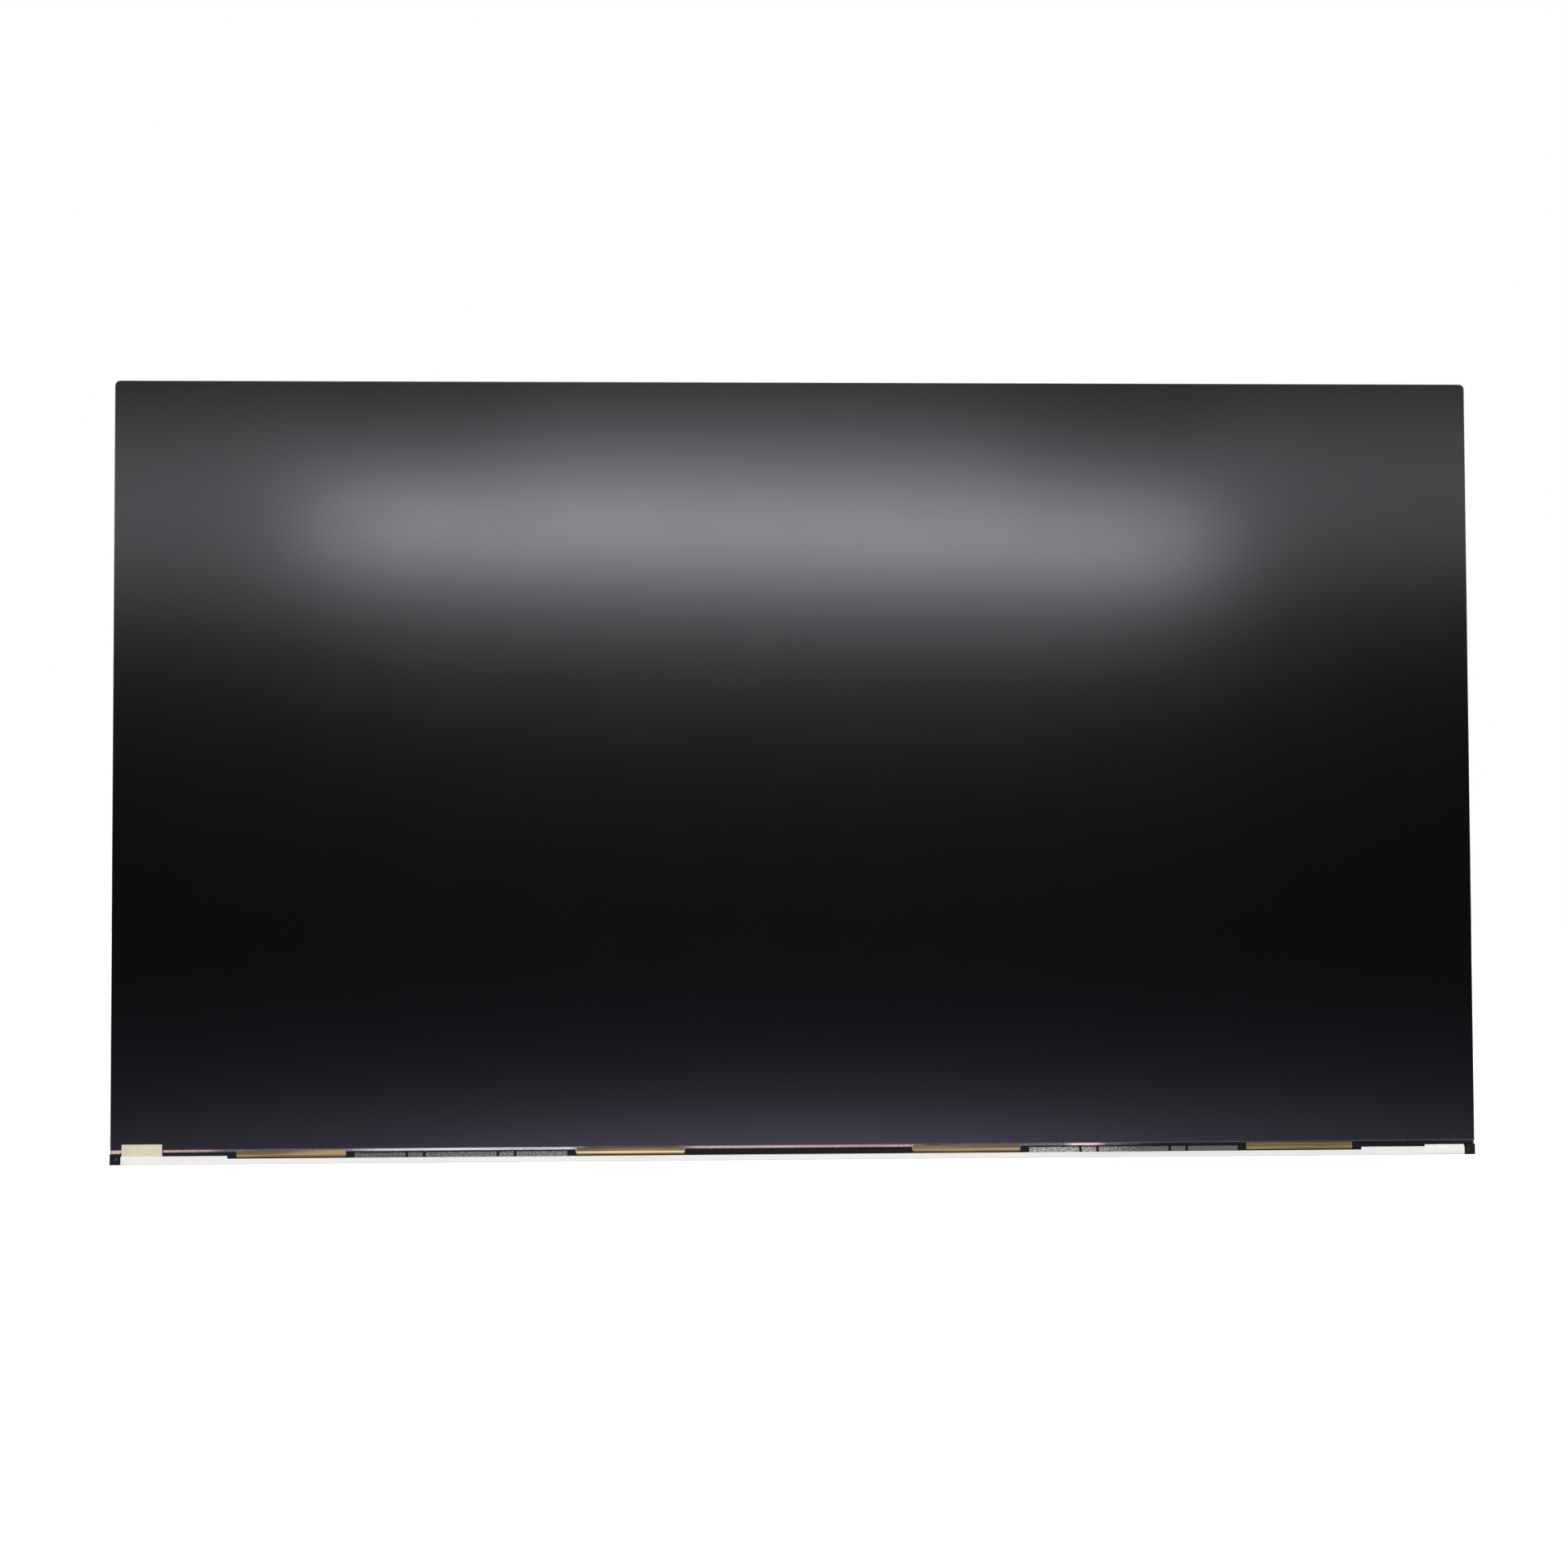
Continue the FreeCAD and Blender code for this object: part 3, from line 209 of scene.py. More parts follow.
# The lilac glow on the sweep: its strength, and how far it spreads sideways and forwards
CARD_GLOW = 1.9
CARD_GLOW_WIDTH = 1370 * MM
CARD_GLOW_REACH = 900 * MM


# Finishes

def grey(level):
    """Gives a grey."""
    return (level, level, level)


class Finish:
    """A procedural material: nodes round one principled shader, in metres of the object."""

    def __init__(self, name, **settings):
        self.material = bpy.data.materials.new(name)
        self.material.use_nodes = True
        self.tree = self.material.node_tree
        self.shader = self.tree.nodes["Principled BSDF"]
        for socket, value in settings.items():
            self.shader.inputs[socket.replace("_", " ")].default_value = value
        self.place = self.node("ShaderNodeTexCoord").outputs["Object"]

    def node(self, kind, inputs=None, **settings):
        """Adds a node; an input is a plain value or another node's output."""
        node = self.tree.nodes.new(kind)
        for name, value in settings.items():
            setattr(node, name, value)
        for key, value in (inputs or {}).items():
            if isinstance(value, bpy.types.NodeSocket):
                self.tree.links.new(value, node.inputs[key])
            else:
                node.inputs[key].default_value = value
        return node

    def feed(self, socket, output):
        """Drives a socket of the shader."""
        self.tree.links.new(output, self.shader.inputs[socket])

    def stretched(self, scale):
        """Gives the place scaled along each axis, for grain that runs one way."""
        return self.node("ShaderNodeMapping", {"Vector": self.place, "Scale": scale}).outputs["Vector"]

    def along(self, axis, start, end):
        """Gives 0 to 1 for places from a start to an end on one axis."""
        split = self.node("ShaderNodeSeparateXYZ", {"Vector": self.place})
        span = {"Value": split.outputs[axis], "From Min": start, "From Max": end}
        return self.node("ShaderNodeMapRange", span).outputs["Result"]

    def across(self):
        """Gives 0 to 1 from the left end of the ledge to its right end."""
        return self.along("X", -LEDGE_HALF, LEDGE_HALF)

    def noise(self, scale, detail=3.0, stretch=(1, 1, 1)):
        """Gives soft noise; scale is in bumps a metre."""
        inputs = {"Vector": self.stretched(stretch), "Scale": scale, "Detail": detail}
        return self.node("ShaderNodeTexNoise", inputs).outputs["Fac"]

    def ramp(self, factor, *stops):
        """Turns a factor into colours at the given places."""
        ramp = self.node("ShaderNodeValToRGB", {"Fac": factor})
        elements = ramp.color_ramp.elements
        while len(elements) < len(stops):
            elements.new(1.0)
        for element, (position, colour) in zip(elements, stops):
            element.position = position
            element.color = (*colour, 1.0)
        return ramp.outputs["Color"]

    def tones(self, noise, dark, light):
        """Turns noise into colours between two tones."""
        return self.ramp(noise, (NOISE_LOW, dark), (NOISE_HIGH, light))

    def between(self, noise, low, high):
        """Maps noise onto a range."""
        span = {"Value": noise, "From Min": NOISE_LOW, "From Max": NOISE_HIGH, "To Min": low, "To Max": high}
        return self.node("ShaderNodeMapRange", span).outputs["Result"]

    def mix(self, factor, first, second, blend="MIX"):
        """Mixes two colours."""
        node = self.node("ShaderNodeMix", {"Factor": factor}, data_type="RGBA", blend_type=blend)
        for place, value in ((MIX_FIRST, first), (MIX_SECOND, second)):
            if isinstance(value, bpy.types.NodeSocket):
                self.tree.links.new(value, node.inputs[place])
            else:
                node.inputs[place].default_value = (*value, 1.0)
        return node.outputs[MIX_RESULT]

    def both(self, first, second):
        """Gives where two masks overlap."""
        return self.mix(1.0, first, second, "MULTIPLY")

    def bump(self, height, depth, strength=0.5):
        """Raises the surface by a height of up to a depth in metres."""
        node = self.node("ShaderNodeBump", {"Height": height, "Distance": depth, "Strength": strength})
        self.feed("Normal", node.outputs["Normal"])


def grained(name, dark, light, roughness, scale, depth=GRAIN_DEPTH, **settings):
    """A finish with two close tones, uneven gloss and a fine grain."""
    finish = Finish(name, **settings)
    grain = finish.noise(scale)
    finish.feed("Base Color", finish.tones(grain, dark, light))
    finish.feed("Roughness", finish.between(finish.noise(scale / GLOSS_COARSENESS), *roughness))
    finish.bump(grain, depth)
    return finish.material


def screen_film():
    """Matte anti-glare film over the dark cell."""
    finish = Finish("screen_film", IOR=1.5, Specular_Tint=(0.95, 0.92, 1.0, 1.0))
    grain = finish.noise(9000, detail=0)
    finish.feed("Base Color", finish.tones(grain, (0.0008, 0.0008, 0.001), (0.0016, 0.0015, 0.002)))
    finish.feed("Roughness", finish.between(finish.noise(40, detail=1), 0.184, 0.19))
    return finish.material


def panel_glass():
    """Thin glass that shows green at its edges."""
    finish = Finish("panel_glass", IOR=1.52, Transmission_Weight=0.45)
    finish.feed("Base Color", finish.tones(finish.noise(60), (0.16, 0.21, 0.19), (0.26, 0.33, 0.30)))
    finish.feed("Roughness", finish.between(finish.noise(900), 0.08, 0.16))
    return finish.material


def galvanised_steel():
    """Zinc-coated sheet: fine matte grain, rolling streaks along the panel and faint hand marks."""
    finish = Finish("galvanised_steel", Metallic=0.8)
    grain = finish.noise(2400, detail=4)
    streaks = finish.noise(500, detail=5, stretch=(0.012, 1, 1))
    smudges = finish.noise(9, detail=4)
    tone = finish.mix(0.35, finish.mix(0.3, grain, streaks), smudges)
    finish.feed("Base Color", finish.ramp(tone, (0.36, (0.255, 0.26, 0.265)), (0.64, (0.37, 0.375, 0.38))))
    finish.feed("Roughness", finish.between(tone, 0.40, 0.54))
    finish.bump(finish.mix(0.5, grain, streaks), 0.012 * MM, 0.35)
    return finish.material


def white_sheet():
    """Pale satin coat with faint scuffs along its length."""
    finish = Finish("white_sheet", IOR=1.45)
    scuffs = finish.noise(240, detail=7, stretch=(0.08, 1, 1.5))
    specks = finish.noise(5000, detail=2)
    tone = finish.mix(0.25, scuffs, specks)
    coat = finish.ramp(tone, (0.3, (0.70, 0.71, 0.70)), (0.42, (0.77, 0.78, 0.77)),
                       (0.7, (0.82, 0.83, 0.82)))
    finish.feed("Base Color", coat)
    finish.feed("Roughness", finish.between(tone, 0.5, 0.36))
    finish.bump(finish.mix(0.5, scuffs, specks), 0.03 * MM, 0.3)
    return finish.material


def golden_film():
    """Amber film: fine copper lines run down it, its streaks are partly painted sheen, and painted highlights
    lie where it bows, most on the second film, and at the first film's right end.
    """
    finish = Finish("golden_film", IOR=1.6, Coat_Weight=0.15, Coat_Roughness=0.2)
    deep_amber = (0.10, 0.062, 0.016)
    amber = (0.18, 0.117, 0.038)
    pale_amber = (0.38, 0.26, 0.10)
    # Pale gold of the painted highlight where the film bows
    painted_gleam = (0.95, 0.80, 0.45)
    # Pale tone of the painted highlight at the first film's right end
    painted_end_highlight = (0.62, 0.46, 0.27)
    lines = finish.noise(9000, stretch=(1, 0.01, 0.01))
    # Horizontal streaks: partly the film's own uneven tone, partly painted sheen from its bend
    streaks = finish.noise(700, detail=4, stretch=(0.03, 0.5, 1))
    tone = finish.ramp(streaks, (0.34, deep_amber), (0.5, amber), (0.66, pale_amber))
    across = finish.across()
    # Painted highlight: how much each film shows it, most on the second film and some on the third
    painted_shine = finish.ramp(across, (0.24, grey(0.05)), (0.36, WHITE), (0.43, grey(0.9)), (0.5, grey(0.1)),
                        (0.66, grey(0.3)), (0.75, grey(0.1)))
    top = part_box("front_polarizer")[0].z
    down = finish.along("Z", top, top - FILM_SHOW)
    # Band down the film where the painted highlight lies, at its bow
    bow = finish.ramp(down, (0.5, BLACK), (0.63, WHITE), (0.7, grey(0.8)), (0.82, BLACK))
    tone = finish.mix(finish.both(painted_shine, bow), tone, painted_gleam)
    # Painted highlight at the first film's right end, strongest at the top and fading downwards
    end = finish.ramp(across, (0.13, BLACK), (0.16, grey(0.6)), (0.18, grey(0.6)), (0.2, BLACK))
    upper = finish.ramp(down, (0.3, WHITE), (0.7, BLACK))
    tone = finish.mix(finish.both(end, upper), tone, painted_end_highlight)
    finish.feed("Base Color", finish.mix(0.25, tone, lines, "OVERLAY"))
    finish.feed("Metallic", finish.between(streaks, 0.25, 0.5))
    finish.feed("Roughness", finish.between(finish.noise(500, stretch=(0.05, 1, 1)), 0.28, 0.42))
    finish.bump(lines, 0.004 * MM, 0.2)
    return finish.material


def green_board():
    """Green solder mask over copper tracks."""
    finish = Finish("green_board", IOR=1.5, Coat_Weight=0.4, Coat_Roughness=0.15)
    tracks = finish.node("ShaderNodeTexBrick", {
        "Vector": finish.stretched((1, 0, 1)),
        "Scale": 130.0,
        "Mortar Size": 0.03,
        "Color1": (0.012, 0.10, 0.045, 1),
        "Color2": (0.016, 0.13, 0.055, 1),
        "Mortar": (0.03, 0.2, 0.09, 1),
    })
    finish.feed("Base Color", tracks.outputs["Color"])
    finish.feed("Roughness", finish.between(finish.noise(300), 0.25, 0.4))
    finish.bump(tracks.outputs["Fac"], 0.02 * MM, 0.3)
    return finish.material


def ledge_print():
    """Metal tracks on the glass ledge: copper, lilac, rose and dark stretches with bright specks; the lilac
    stretch is partly a painted highlight, and a narrow pale gold painted highlight sits in the silver
    stretch.
    """
    finish = Finish("ledge_print", Metallic=0.9)
    copper = (1.0, 0.68, 0.53)
    slate = (0.15, 0.16, 0.23)
    # Near-white lilac: the tracks' own tint, brightened as a painted highlight
    lilac = (0.97, 0.92, 1.0)
    rose = (0.60, 0.41, 0.38)
    dark = (0.025, 0.022, 0.028)
    silver = (0.17, 0.165, 0.18)
    # Pale gold painted highlight, a narrow stretch in the silver part
    painted_glint = (1.0, 0.82, 0.70)
    zones = finish.ramp(finish.across(), (0.07, copper), (0.08, slate), (0.165, slate), (0.195, lilac),
                        (0.33, lilac), (0.345, dark), (0.41, dark), (0.425, rose), (0.58, rose),
                        (0.595, dark), (0.62, silver), (0.695, silver), (0.703, painted_glint), (0.718, painted_glint),
                        (0.726, silver), (0.76, dark))
    bands = finish.noise(1600, stretch=(0.015, 0, 1))
    tracks = finish.ramp(bands, (0.34, (0.10, 0.09, 0.14)), (0.48, (0.7, 0.66, 0.7)),
                         (0.6, (1.0, 0.97, 0.95)))
    layered = finish.mix(0.6, zones, tracks, "MULTIPLY")
    specks = finish.noise(700, detail=4, stretch=(1, 0, 1))
    finish.feed("Base Color", finish.mix(finish.between(specks, -0.6, 0.7), layered, zones, "SCREEN"))
    finish.feed("Roughness", finish.between(specks, 0.2, 0.34))
    finish.bump(specks, 0.005 * MM, 0.2)
    return finish.material


def rail_plastic():
    """Black moulded rail, with a painted silvery sheen, a painted reflection, in the sunken panels of its
    outer two blocks.
    """
    finish = Finish("rail_plastic", Specular_IOR_Level=0.1)
    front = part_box("front_polarizer")[0].y
    depth = finish.along("Y", front, front + 2 * RECESS_DEPTH)
    across = finish.across()
    sunk = finish.ramp(depth, (0.4, BLACK), (0.45, WHITE), (0.55, WHITE), (0.6, BLACK))
    outer = finish.ramp(across, (0.36, WHITE), (0.4, BLACK), (0.6, BLACK), (0.64, WHITE))
    # Painted reflection: mottled silver in the sunken panels, in a darker and a brighter copy
    sheen_flecks = finish.noise(3200, detail=6, stretch=(0.5, 0, 0.8))
    dim_painted_sheen = finish.ramp(sheen_flecks, (0.36, (0.035, 0.035, 0.037)), (0.5, (0.10, 0.10, 0.105)),
                      (0.62, (0.2, 0.2, 0.21)), (0.74, (0.5, 0.5, 0.52)))
    bright_painted_sheen = finish.ramp(sheen_flecks, (0.36, (0.08, 0.08, 0.085)), (0.5, (0.26, 0.26, 0.27)),
                      (0.64, (0.8, 0.8, 0.82)))
    # How strong the painted sheen is along the rail: weak on the left block, strongest on the right block,
    # which ends in a plain grey painted sheen
    bright = finish.ramp(across, (0.2, BLACK), (0.33, grey(0.3)), (0.64, WHITE), (0.71, WHITE), (0.75, BLACK))
    smooth = finish.ramp(across, (0.745, BLACK), (0.765, WHITE))
    # The painted sheen that the sunken panels show
    silver = finish.mix(smooth, finish.mix(bright, dim_painted_sheen, bright_painted_sheen), (0.12, 0.12, 0.125))
    grain = finish.noise(PLASTIC_GRAIN)
    black = finish.tones(grain, PLASTIC_DARK, PLASTIC_LIGHT)
    finish.feed("Base Color", finish.mix(finish.both(sunk, outer), black, silver))
    finish.feed("Roughness", finish.between(grain, *PLASTIC_ROUGHNESS))
    finish.bump(grain, GRAIN_DEPTH)
    return finish.material


def copper_pads():
    """Salmon-coloured test pads at the corner of the ledge."""
    return grained("copper_pads", (0.90, 0.64, 0.53), (1.0, 0.80, 0.70), (0.25, 0.35), 2500, Metallic=0.7)


def contact_gold():
    """Plated contacts."""
    return grained("contact_gold", (0.70, 0.50, 0.20), (0.86, 0.66, 0.32), (0.2, 0.3), 3000, Metallic=1.0)


def crepe_tape(name, dark, light):
    """Paper tape with fine ridges across it."""
    finish = Finish(name, IOR=1.4)
    ridges = finish.noise(2600, stretch=(1, 1, 0.3))
    blotches = finish.noise(140)
    finish.feed("Base Color", finish.tones(finish.mix(0.75, ridges, blotches), dark, light))
    finish.feed("Roughness", finish.between(ridges, 0.62, 0.78))
    finish.bump(ridges, 0.02 * MM, 0.3)
    return finish.material


def plain_finishes():
    """Gives the plain finishes: two tones, a range of roughness and the scale of the grain."""
    looks = {
        "rear_film": ((0.03, 0.03, 0.04), (0.05, 0.05, 0.06), (0.1, 0.2), 400),
        "foam_tape": (grey(0.012), grey(0.03), (0.8, 0.95), 4000),
        "optical_film": ((0.76, 0.77, 0.78), (0.86, 0.87, 0.88), (0.3, 0.45), 700),
        "white_film": (grey(0.82), grey(0.9), (0.5, 0.6), 500),
        "silicone": ((0.68, 0.68, 0.66), (0.8, 0.8, 0.78), (0.5, 0.65), 1500),
        "lamp_white": ((0.80, 0.72, 0.42), (0.9, 0.86, 0.66), (0.3, 0.45), 1200),
        "white_board": (grey(0.78), grey(0.88), (0.35, 0.5), 900),
        "heat_tape": ((0.45, 0.45, 0.47), (0.58, 0.58, 0.6), (0.6, 0.75), 1800),
        "chip_black": ((0.012, 0.012, 0.014), (0.03, 0.03, 0.034), (0.4, 0.55), 3500),
        "insulating_film": (grey(0.015), grey(0.035), (0.2, 0.35), 500),
        "coil_grey": ((0.05, 0.05, 0.055), (0.1, 0.1, 0.11), (0.55, 0.7), 3000),
        "capacitor_tan": ((0.34, 0.24, 0.15), (0.5, 0.38, 0.26), (0.35, 0.5), 2000),
        "connector_cream": ((0.70, 0.645, 0.53), (0.76, 0.71, 0.60), (0.35, 0.5), 6000),
    }
    return {name: grained(name, *look) for name, look in looks.items()}


def make_finishes():
    """Gives the finish of each material slot of the record."""
    return {
        **plain_finishes(),
        "screen_film": screen_film(),
        "panel_glass": panel_glass(),
        "golden_film": golden_film(),
        "galvanised_steel": galvanised_steel(),
        "white_sheet": white_sheet(),
        "green_board": green_board(),
        "black_plastic": grained("black_plastic", PLASTIC_DARK, PLASTIC_LIGHT, PLASTIC_ROUGHNESS,
                                 PLASTIC_GRAIN, Specular_IOR_Level=0.15),
        "clear_acrylic": grained("clear_acrylic", (0.74, 0.82, 0.82), (0.84, 0.90, 0.90), (0.05, 0.12), 300,
                                 Transmission_Weight=0.5, IOR=1.49),
        "screw_steel": grained("screw_steel", (0.46, 0.46, 0.47), (0.55, 0.55, 0.565), (0.24, 0.34), 7000,
                               depth=0.006 * MM, Metallic=1.0),
        "tan_tape": crepe_tape("tan_tape", (0.57, 0.515, 0.395), (0.68, 0.625, 0.495)),
        "cream_tape": crepe_tape("cream_tape", (0.77, 0.77, 0.72), (0.87, 0.87, 0.83)),
    }


def dress_nodes(finishes):
    """Gives every solid the finish that the record names for it, and the rail its own."""
    slots = {entry["node"]: entry["material_slot"] for entry in frame["record"]["subparts"]}
    for name, solid in NODES.items():
        solid.data.materials.clear()
        solid.data.materials.append(finishes[slots[name]])
    NODES["bottom_rail"].data.materials[0] = rail_plastic()


# Small pieces

def add_piece(name, mesh, material):
    """Puts a new piece on the panel."""
    piece = bpy.data.objects.new(name, mesh)
    bpy.context.scene.collection.objects.link(piece)
    mesh.materials.append(material)
    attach(piece, BODY)
    return piece


def finished_mesh(name, work):
    """Turns mesh work into a mesh whose faces point outwards."""
    bmesh.ops.recalc_face_normals(work, faces=work.faces)
    mesh = bpy.data.meshes.new(name)
    work.to_mesh(mesh)
    work.free()
    return mesh


def box_mesh(name, boxes):
    """Makes one mesh of upright boxes with softened edges, each given by two corners."""
    work = bmesh.new()
    for low, high in boxes:
        made = bmesh.ops.create_cube(work, size=1.0)["verts"]
        size = Vector(high) - Vector(low)
        bmesh.ops.scale(work, vec=size, verts=made)
        bmesh.ops.translate(work, vec=(Vector(high) + Vector(low)) / 2, verts=made)
        edges = {edge for corner in made for edge in corner.link_edges}
        bmesh.ops.bevel(work, geom=list(edges), offset=min(size) * BOX_SOFTNESS, segments=1, affect="EDGES")
    return finished_mesh(name, work)


def add_prism(work, outline, near, far):
    """Draws an outline of places across and up out along Y."""
    ends = []
    for depth in (near, far):
        ends.append([work.verts.new((across, depth, height)) for across, height in outline])
    front, back = ends
    work.faces.new(front)
    work.faces.new(list(reversed(back)))
    for number in range(len(outline)):
        work.faces.new((front[number - 1], back[number - 1], back[number], front[number]))


def add_turning(work, middle, profile):
    """Turns a profile of radii and depths about a line along Y."""
    turns = [2 * math.pi * (number + 0.5) / SCREW_SIDES for number in range(SCREW_SIDES)]
    rings = []
    for radius, depth in profile:
        places = [(middle.x + radius * math.cos(turn), middle.z + radius * math.sin(turn)) for turn in turns]
        rings.append([work.verts.new((across, depth, height)) for across, height in places])
    for first, second in zip(rings, rings[1:]):
        for number in range(SCREW_SIDES):
            work.faces.new((first[number - 1], first[number], second[number], second[number - 1]))
    work.faces.new(rings[0])
    work.faces.new(list(reversed(rings[-1])))


def add_ledge_print(material):
    """Lays the metal tracks on the part of the rear glass that reaches below the front glass."""
    glass_low, glass_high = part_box("array_glass")
    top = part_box("color_filter_glass")[0].z
    low = glass_low.z + PRINT_MARGIN
    left = glass_low.x + PRINT_MARGIN
    right = glass_high.x - PRINT_MARGIN
    outline = [(left, top), (left, low + LEDGE_CORNER_CUT), (left + LEDGE_CORNER_CUT, low),
               (right - LEDGE_CORNER_CUT, low), (right, low + LEDGE_CORNER_CUT), (right, top)]
    work = bmesh.new()
    add_prism(work, outline, glass_low.y - PRINT_THICKNESS, glass_low.y)
    add_piece("ledge_print", finished_mesh("ledge_print", work), material)


def add_ledge_pads(material):
    """Sets the copper pads on the left corner of the ledge, over the lug."""
    glass_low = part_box("array_glass")[0]
    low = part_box("color_filter_glass")[0].z - PAD_DROP
    boxes = []
    for number in range(PAD_COUNT):
        left = glass_low.x + PAD_INSET + number * PAD_PITCH
        boxes.append(((left, glass_low.y - PAD_THICKNESS, low),
                      (left + PAD_WIDTH, glass_low.y, low + PAD_HEIGHT)))
    add_piece("ledge_pads", box_mesh("ledge_pads", boxes), material)


def add_contacts(name, socket, pitch, material):
    """Lines a socket's mouth with spring contacts and sets a solder foot under each."""
    low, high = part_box(socket)
    count = int((high.x - low.x - CONTACT_END_ROOM) / pitch) + 1
    first = (low.x + high.x - (count - 1) * pitch) / 2
    boxes = []
    for number in range(count):
        middle = first + number * pitch
        left = middle - CONTACT_HALF
        right = middle + CONTACT_HALF
        boxes.append(((left, low.y + CONTACT_NEAR, high.z - CONTACT_ROOT),
                      (right, low.y + CONTACT_FAR, high.z - CONTACT_TIP)))
        boxes.append(((left, low.y, low.z - FOOT_REACH), (right, low.y + FOOT_THICKNESS, low.z + FOOT_TUCK)))
    add_piece(name, box_mesh(name, boxes), material)


def add_shell(material):
    """Puts the pressed shell of the signal socket on its back, with a solder ear at each end."""
    low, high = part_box("signal_connector")
    back = high.y + SHELL_THICKNESS
    boxes = [((low.x + SHELL_END_ROOM, high.y, low.z + SHELL_FOOT_ROOM),
              (high.x - SHELL_END_ROOM, back, high.z - SHELL_MOUTH_ROOM))]
    for number in range(TONGUE_COUNT):
        start = low.x + TONGUE_START + number * TONGUE_PITCH
        boxes.append(((start, high.y, high.z - TONGUE_ROOT),
                      (start + TONGUE_WIDTH, back, high.z - TONGUE_TIP)))
    for start, end in ((low.x - EAR_REACH, low.x), (high.x, high.x + EAR_REACH)):
        boxes.append(((start, low.y, low.z + EAR_BOTTOM), (end, low.y + EAR_THICKNESS, low.z + EAR_TOP)))
    add_piece("signal_shell", box_mesh("signal_shell", boxes), material)


def cross_outline(middle):
    """Gives the outline of a screw's cross recess."""
    outline = []
    for quarter in range(4):
        turn = Matrix.Rotation(quarter * math.pi / 2, 2)
        for corner in ((CROSS_REACH, CROSS_HALF), (CROSS_HALF, CROSS_HALF), (CROSS_HALF, CROSS_REACH)):
            across, height = turn @ Vector(corner)
            outline.append((middle.x + across, middle.z + height))
    return outline


def screw_profile(low, high, radius):
    """Gives a screw's radii and depths from its tip to the top of its domed head."""
    shank = radius * SHANK_SHARE
    seat = high - SCREW_HEAD
    profile = [(shank * TIP_SHARE, low), (shank, low + TIP_LENGTH), (shank, seat)]
    profile += [(radius * share, seat + rise) for share, rise in DOME_RISES]
    profile += [(radius * share, high - drop) for share, drop in DOME_DROPS]
    return profile


def add_screws(material):
    """Makes the cover screws with domed heads and cross recesses in place of the plain solids."""
    low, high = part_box("cover_screws")
    radius = (high.z - low.z) / 2
    profile = screw_profile(low.y, high.y, radius)
    heads = bmesh.new()
    crosses = bmesh.new()
    for across in (low.x + radius, (low.x + high.x) / 2, high.x - radius):
        middle = Vector((across, 0, (low.z + high.z) / 2))
        add_turning(heads, middle, profile)
        add_prism(crosses, cross_outline(middle), high.y - CROSS_DEPTH, high.y + CROSS_DEPTH)
    blanks = bpy.data.objects.new("screw_blanks", finished_mesh("screw_blanks", heads))
    cutter = bpy.data.objects.new("screw_crosses", finished_mesh("screw_crosses", crosses))
    for helper in (blanks, cutter):
        bpy.context.scene.collection.objects.link(helper)
    recess = blanks.modifiers.new("recess", "BOOLEAN")
    recess.operation = "DIFFERENCE"
    recess.object = cutter
    ready = bpy.data.meshes.new_from_object(blanks.evaluated_get(bpy.context.evaluated_depsgraph_get()))
    for helper in (blanks, cutter):
        bpy.data.objects.remove(helper)
    ready.materials.clear()
    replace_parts(add_piece("screw_heads", ready, material), "cover_screws")


# Camera and lamps

def camera_axes():
    """Gives the turn from the camera's right, down and ahead to the panel's axes."""
    turn = Matrix.Identity(3)
    for axis, degrees in CAMERA_TURN.items():
        turn = Matrix.Rotation(math.radians(degrees), 3, axis) @ turn
    upright = Matrix(((1, 0, 0), (0, 0, -1), (0, 1, 0)))
    return (turn @ upright).transposed()


def screen_centre():
    """Gives the middle of the screen's face."""
    low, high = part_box("front_polarizer")
    return Vector(((low.x + high.x) / 2, low.y, (low.z + high.z) / 2))


def camera_place():
    """Gives where the camera stands."""
    return screen_centre() - camera_axes() @ SCREEN_FROM_CAMERA


def add_camera():
    """Sets the camera at the photograph's viewpoint."""
    camera = bpy.data.objects.new("camera", bpy.data.cameras.new("camera"))
    bpy.context.scene.collection.objects.link(camera)
    camera.data.sensor_width = SENSOR_WIDTH
    camera.data.lens = SENSOR_WIDTH * FOCAL_PIXELS / IMAGE_SIZE
    flip = Matrix.Diagonal((1, -1, -1))
    camera.matrix_world = Matrix.LocRotScale(camera_place(), (camera_axes() @ flip).to_quaternion(), None)
    bpy.context.scene.camera = camera


def mirrored_point(pixel_x, pixel_y, plane_y):
    """Follows a pixel's ray to the screen and, mirrored there, on to an upright plane in front."""
    half = IMAGE_SIZE / 2
    ray = camera_axes() @ Vector((pixel_x - half, pixel_y - half, FOCAL_PIXELS))
    start = camera_place()
    hit = start + ray * ((screen_centre().y - start.y) / ray.y)
    back = Vector((ray.x, -ray.y, ray.z))
    return hit + back * ((plane_y - hit.y) / back.y)


def add_lamp(name, place, target, size, power):
    """Adds a soft rectangular lamp that faces a target."""
    lamp = bpy.data.objects.new(name, bpy.data.lights.new(name, "AREA"))
    bpy.context.scene.collection.objects.link(lamp)
    lamp.data.shape = "RECTANGLE"
    lamp.data.size, lamp.data.size_y = size
    lamp.data.energy = power
    lamp.location = place
    lamp.rotation_euler = (target - place).to_track_quat("-Z", "Y").to_euler()
    lamp.visible_camera = False
    return lamp


def add_strip(name, strip, height, power):
    """Adds a long lamp where the screen mirrors it between two pixels."""
    left, right = (mirrored_point(*pixel, STRIP_DEPTH) for pixel in strip)
    middle = (left + right) / 2
    lamp = add_lamp(name, middle, middle + Vector((0, 1, 0)), ((right - left).length, height), power)
    lamp.rotation_euler.rotate_axis("Z", math.atan2(right.z - left.z, right.x - left.x))


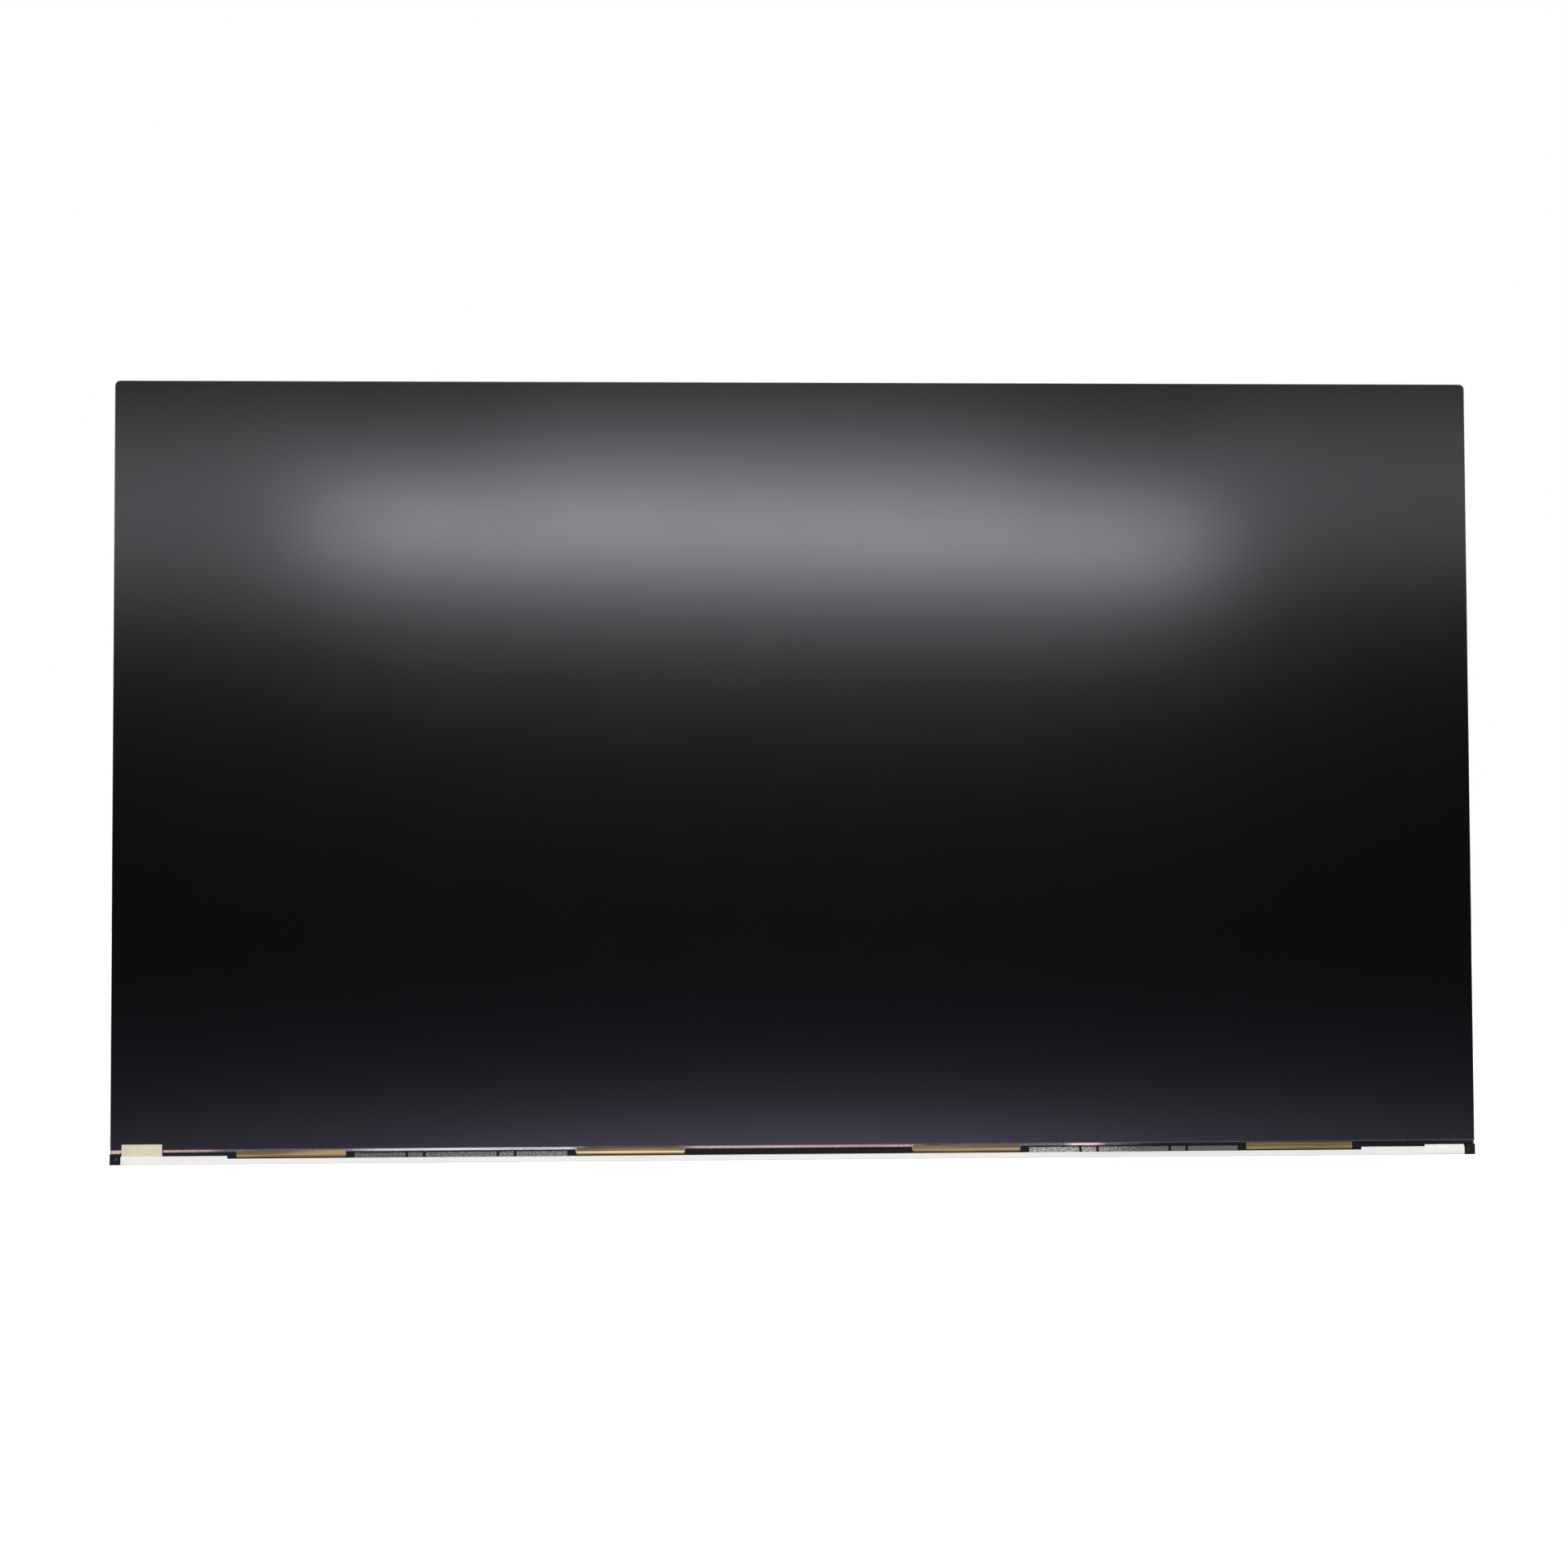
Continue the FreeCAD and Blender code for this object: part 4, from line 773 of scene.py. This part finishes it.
def add_lamps():
    """Lights the panel: four strips that show in the screen, a soft box above and one behind."""
    add_strip("near_strip", NEAR_STRIP, NEAR_STRIP_HEIGHT, NEAR_STRIP_POWER)
    add_strip("short_strip", SHORT_STRIP, NEAR_STRIP_HEIGHT, SHORT_STRIP_POWER)
    add_strip("left_strip", LEFT_STRIP, SIDE_STRIP_HEIGHT, LEFT_STRIP_POWER)
    add_strip("right_strip", RIGHT_STRIP, SIDE_STRIP_HEIGHT, RIGHT_STRIP_POWER)
    add_lamp("soft_box", SOFT_BOX_PLACE, SOFT_BOX_TARGET, SOFT_BOX_SIZE, SOFT_BOX_POWER)
    add_lamp("rear_box", REAR_BOX_PLACE, REAR_BOX_TARGET, REAR_BOX_SIZE, REAR_BOX_POWER)


# Surround, floor and backdrop

def seen_directly(tree):
    """Gives 1 for rays from the camera, a glossy surface or glass, and 0 for the rest."""
    path = tree.nodes.new("ShaderNodeLightPath")
    total = path.outputs["Is Camera Ray"]
    for name in ("Is Glossy Ray", "Is Transmission Ray"):
        add = tree.nodes.new("ShaderNodeMath")
        add.operation = "ADD"
        add.use_clamp = True
        tree.links.new(total, add.inputs[0])
        tree.links.new(path.outputs[name], add.inputs[1])
        total = add.outputs["Value"]
    return total


def add_world():
    """Surrounds the scene with white that lights the panel only gently."""
    world = bpy.data.worlds.new("studio")
    world.use_nodes = True
    bpy.context.scene.world = world
    tree = world.node_tree
    background = tree.nodes["Background"]
    background.inputs["Color"].default_value = (*WHITE, 1)
    strength = tree.nodes.new("ShaderNodeMapRange")
    strength.inputs["To Min"].default_value = SURROUND_LIGHT
    tree.links.new(seen_directly(tree), strength.inputs["Value"])
    tree.links.new(strength.outputs["Result"], background.inputs["Strength"])


def stage_sheet(name, half_width, profile):
    """Makes a stage surface: a profile of depths and heights drawn out sideways."""
    corners = [(side * half_width, depth, height) for depth, height in profile for side in (-1, 1)]
    faces = [(start, start + 1, start + 3, start + 2) for start in range(0, len(corners) - 2, 2)]
    mesh = bpy.data.meshes.new(name)
    mesh.from_pydata(corners, [], faces)
    sheet = bpy.data.objects.new(name, mesh)
    bpy.context.scene.collection.objects.link(sheet)
    return sheet


def lay_finish(sheet, finish):
    """Gives a stage surface its finish, whose glow isn't sampled as a lamp."""
    finish.material.cycles.emission_sampling = "NONE"
    sheet.data.materials.append(finish.material)


def add_floor():
    """Lays the pale floor: it keeps the panel's shadow, and far off it turns as white as the surround."""
    level = cad_box[0][2]
    floor = stage_sheet("floor", FLOOR_REACH, [(-FLOOR_REACH, level), (FLOOR_REACH, level)])
    finish = Finish("floor", Base_Color=(*grey(FLOOR_TONE), 1), Roughness=0.9, Specular_IOR_Level=0.0,
                    Emission_Color=(*WHITE, 1))
    away = finish.node("ShaderNodeVectorMath", {0: finish.place}, operation="LENGTH").outputs["Value"]
    span = {"Value": away, "From Min": FLOOR_GLOW_START, "From Max": FLOOR_GLOW_END, "To Min": FLOOR_GLOW}
    glow = finish.node("ShaderNodeMapRange", span, interpolation_type="SMOOTHSTEP").outputs["Result"]
    shown = finish.node("ShaderNodeMath", {0: seen_directly(finish.tree), 1: glow}, operation="MULTIPLY")
    finish.feed("Emission Strength", shown.outputs["Value"])
    lay_finish(floor, finish)


def add_dark_card():
    """Sets a dark sweep before the panel with a lilac glow at its near edge; only glossy surfaces show it."""
    level = cad_box[0][2] + CARD_LIFT
    profile = [(CARD_START, level), (CARD_RISE, level), (CARD_RISE, level + CARD_SIDE)]
    card = stage_sheet("dark_card", CARD_SIDE, profile)
    finish = Finish("dark_card", Base_Color=(0.01, 0.01, 0.012, 1), Specular_IOR_Level=0.0,
                    Emission_Strength=CARD_GLOW)
    spot = finish.stretched((1 / CARD_GLOW_WIDTH, 1 / CARD_GLOW_REACH, 0))
    away = finish.node("ShaderNodeVectorMath", {0: spot}, operation="LENGTH").outputs["Value"]
    glow = finish.ramp(away, (0.04, (0.88, 0.82, 1.0)), (0.14, (0.43, 0.40, 0.51)),
                       (0.28, (0.17, 0.158, 0.2)), (0.5, (0.055, 0.052, 0.062)), (1.0, (0.014, 0.014, 0.016)))
    finish.feed("Emission Color", glow)
    lay_finish(card, finish)
    card.visible_camera = False
    card.visible_diffuse = False
    card.visible_shadow = False
    card.visible_transmission = False


def main():
    """Dresses the panel, adds its small pieces, and sets the stage, the light and the camera."""
    finishes = make_finishes()
    dress_nodes(finishes)
    add_ledge_print(ledge_print())
    add_ledge_pads(copper_pads())
    gold = contact_gold()
    add_contacts("signal_contacts", "signal_connector", SIGNAL_PITCH, gold)
    add_contacts("lamp_contacts", "lamp_connector", LAMP_PITCH, gold)
    add_shell(finishes["screw_steel"])
    add_screws(finishes["screw_steel"])
    add_floor()
    add_dark_card()
    add_world()
    add_lamps()
    add_camera()
    bpy.context.scene.view_settings.view_transform = "Standard"


main()
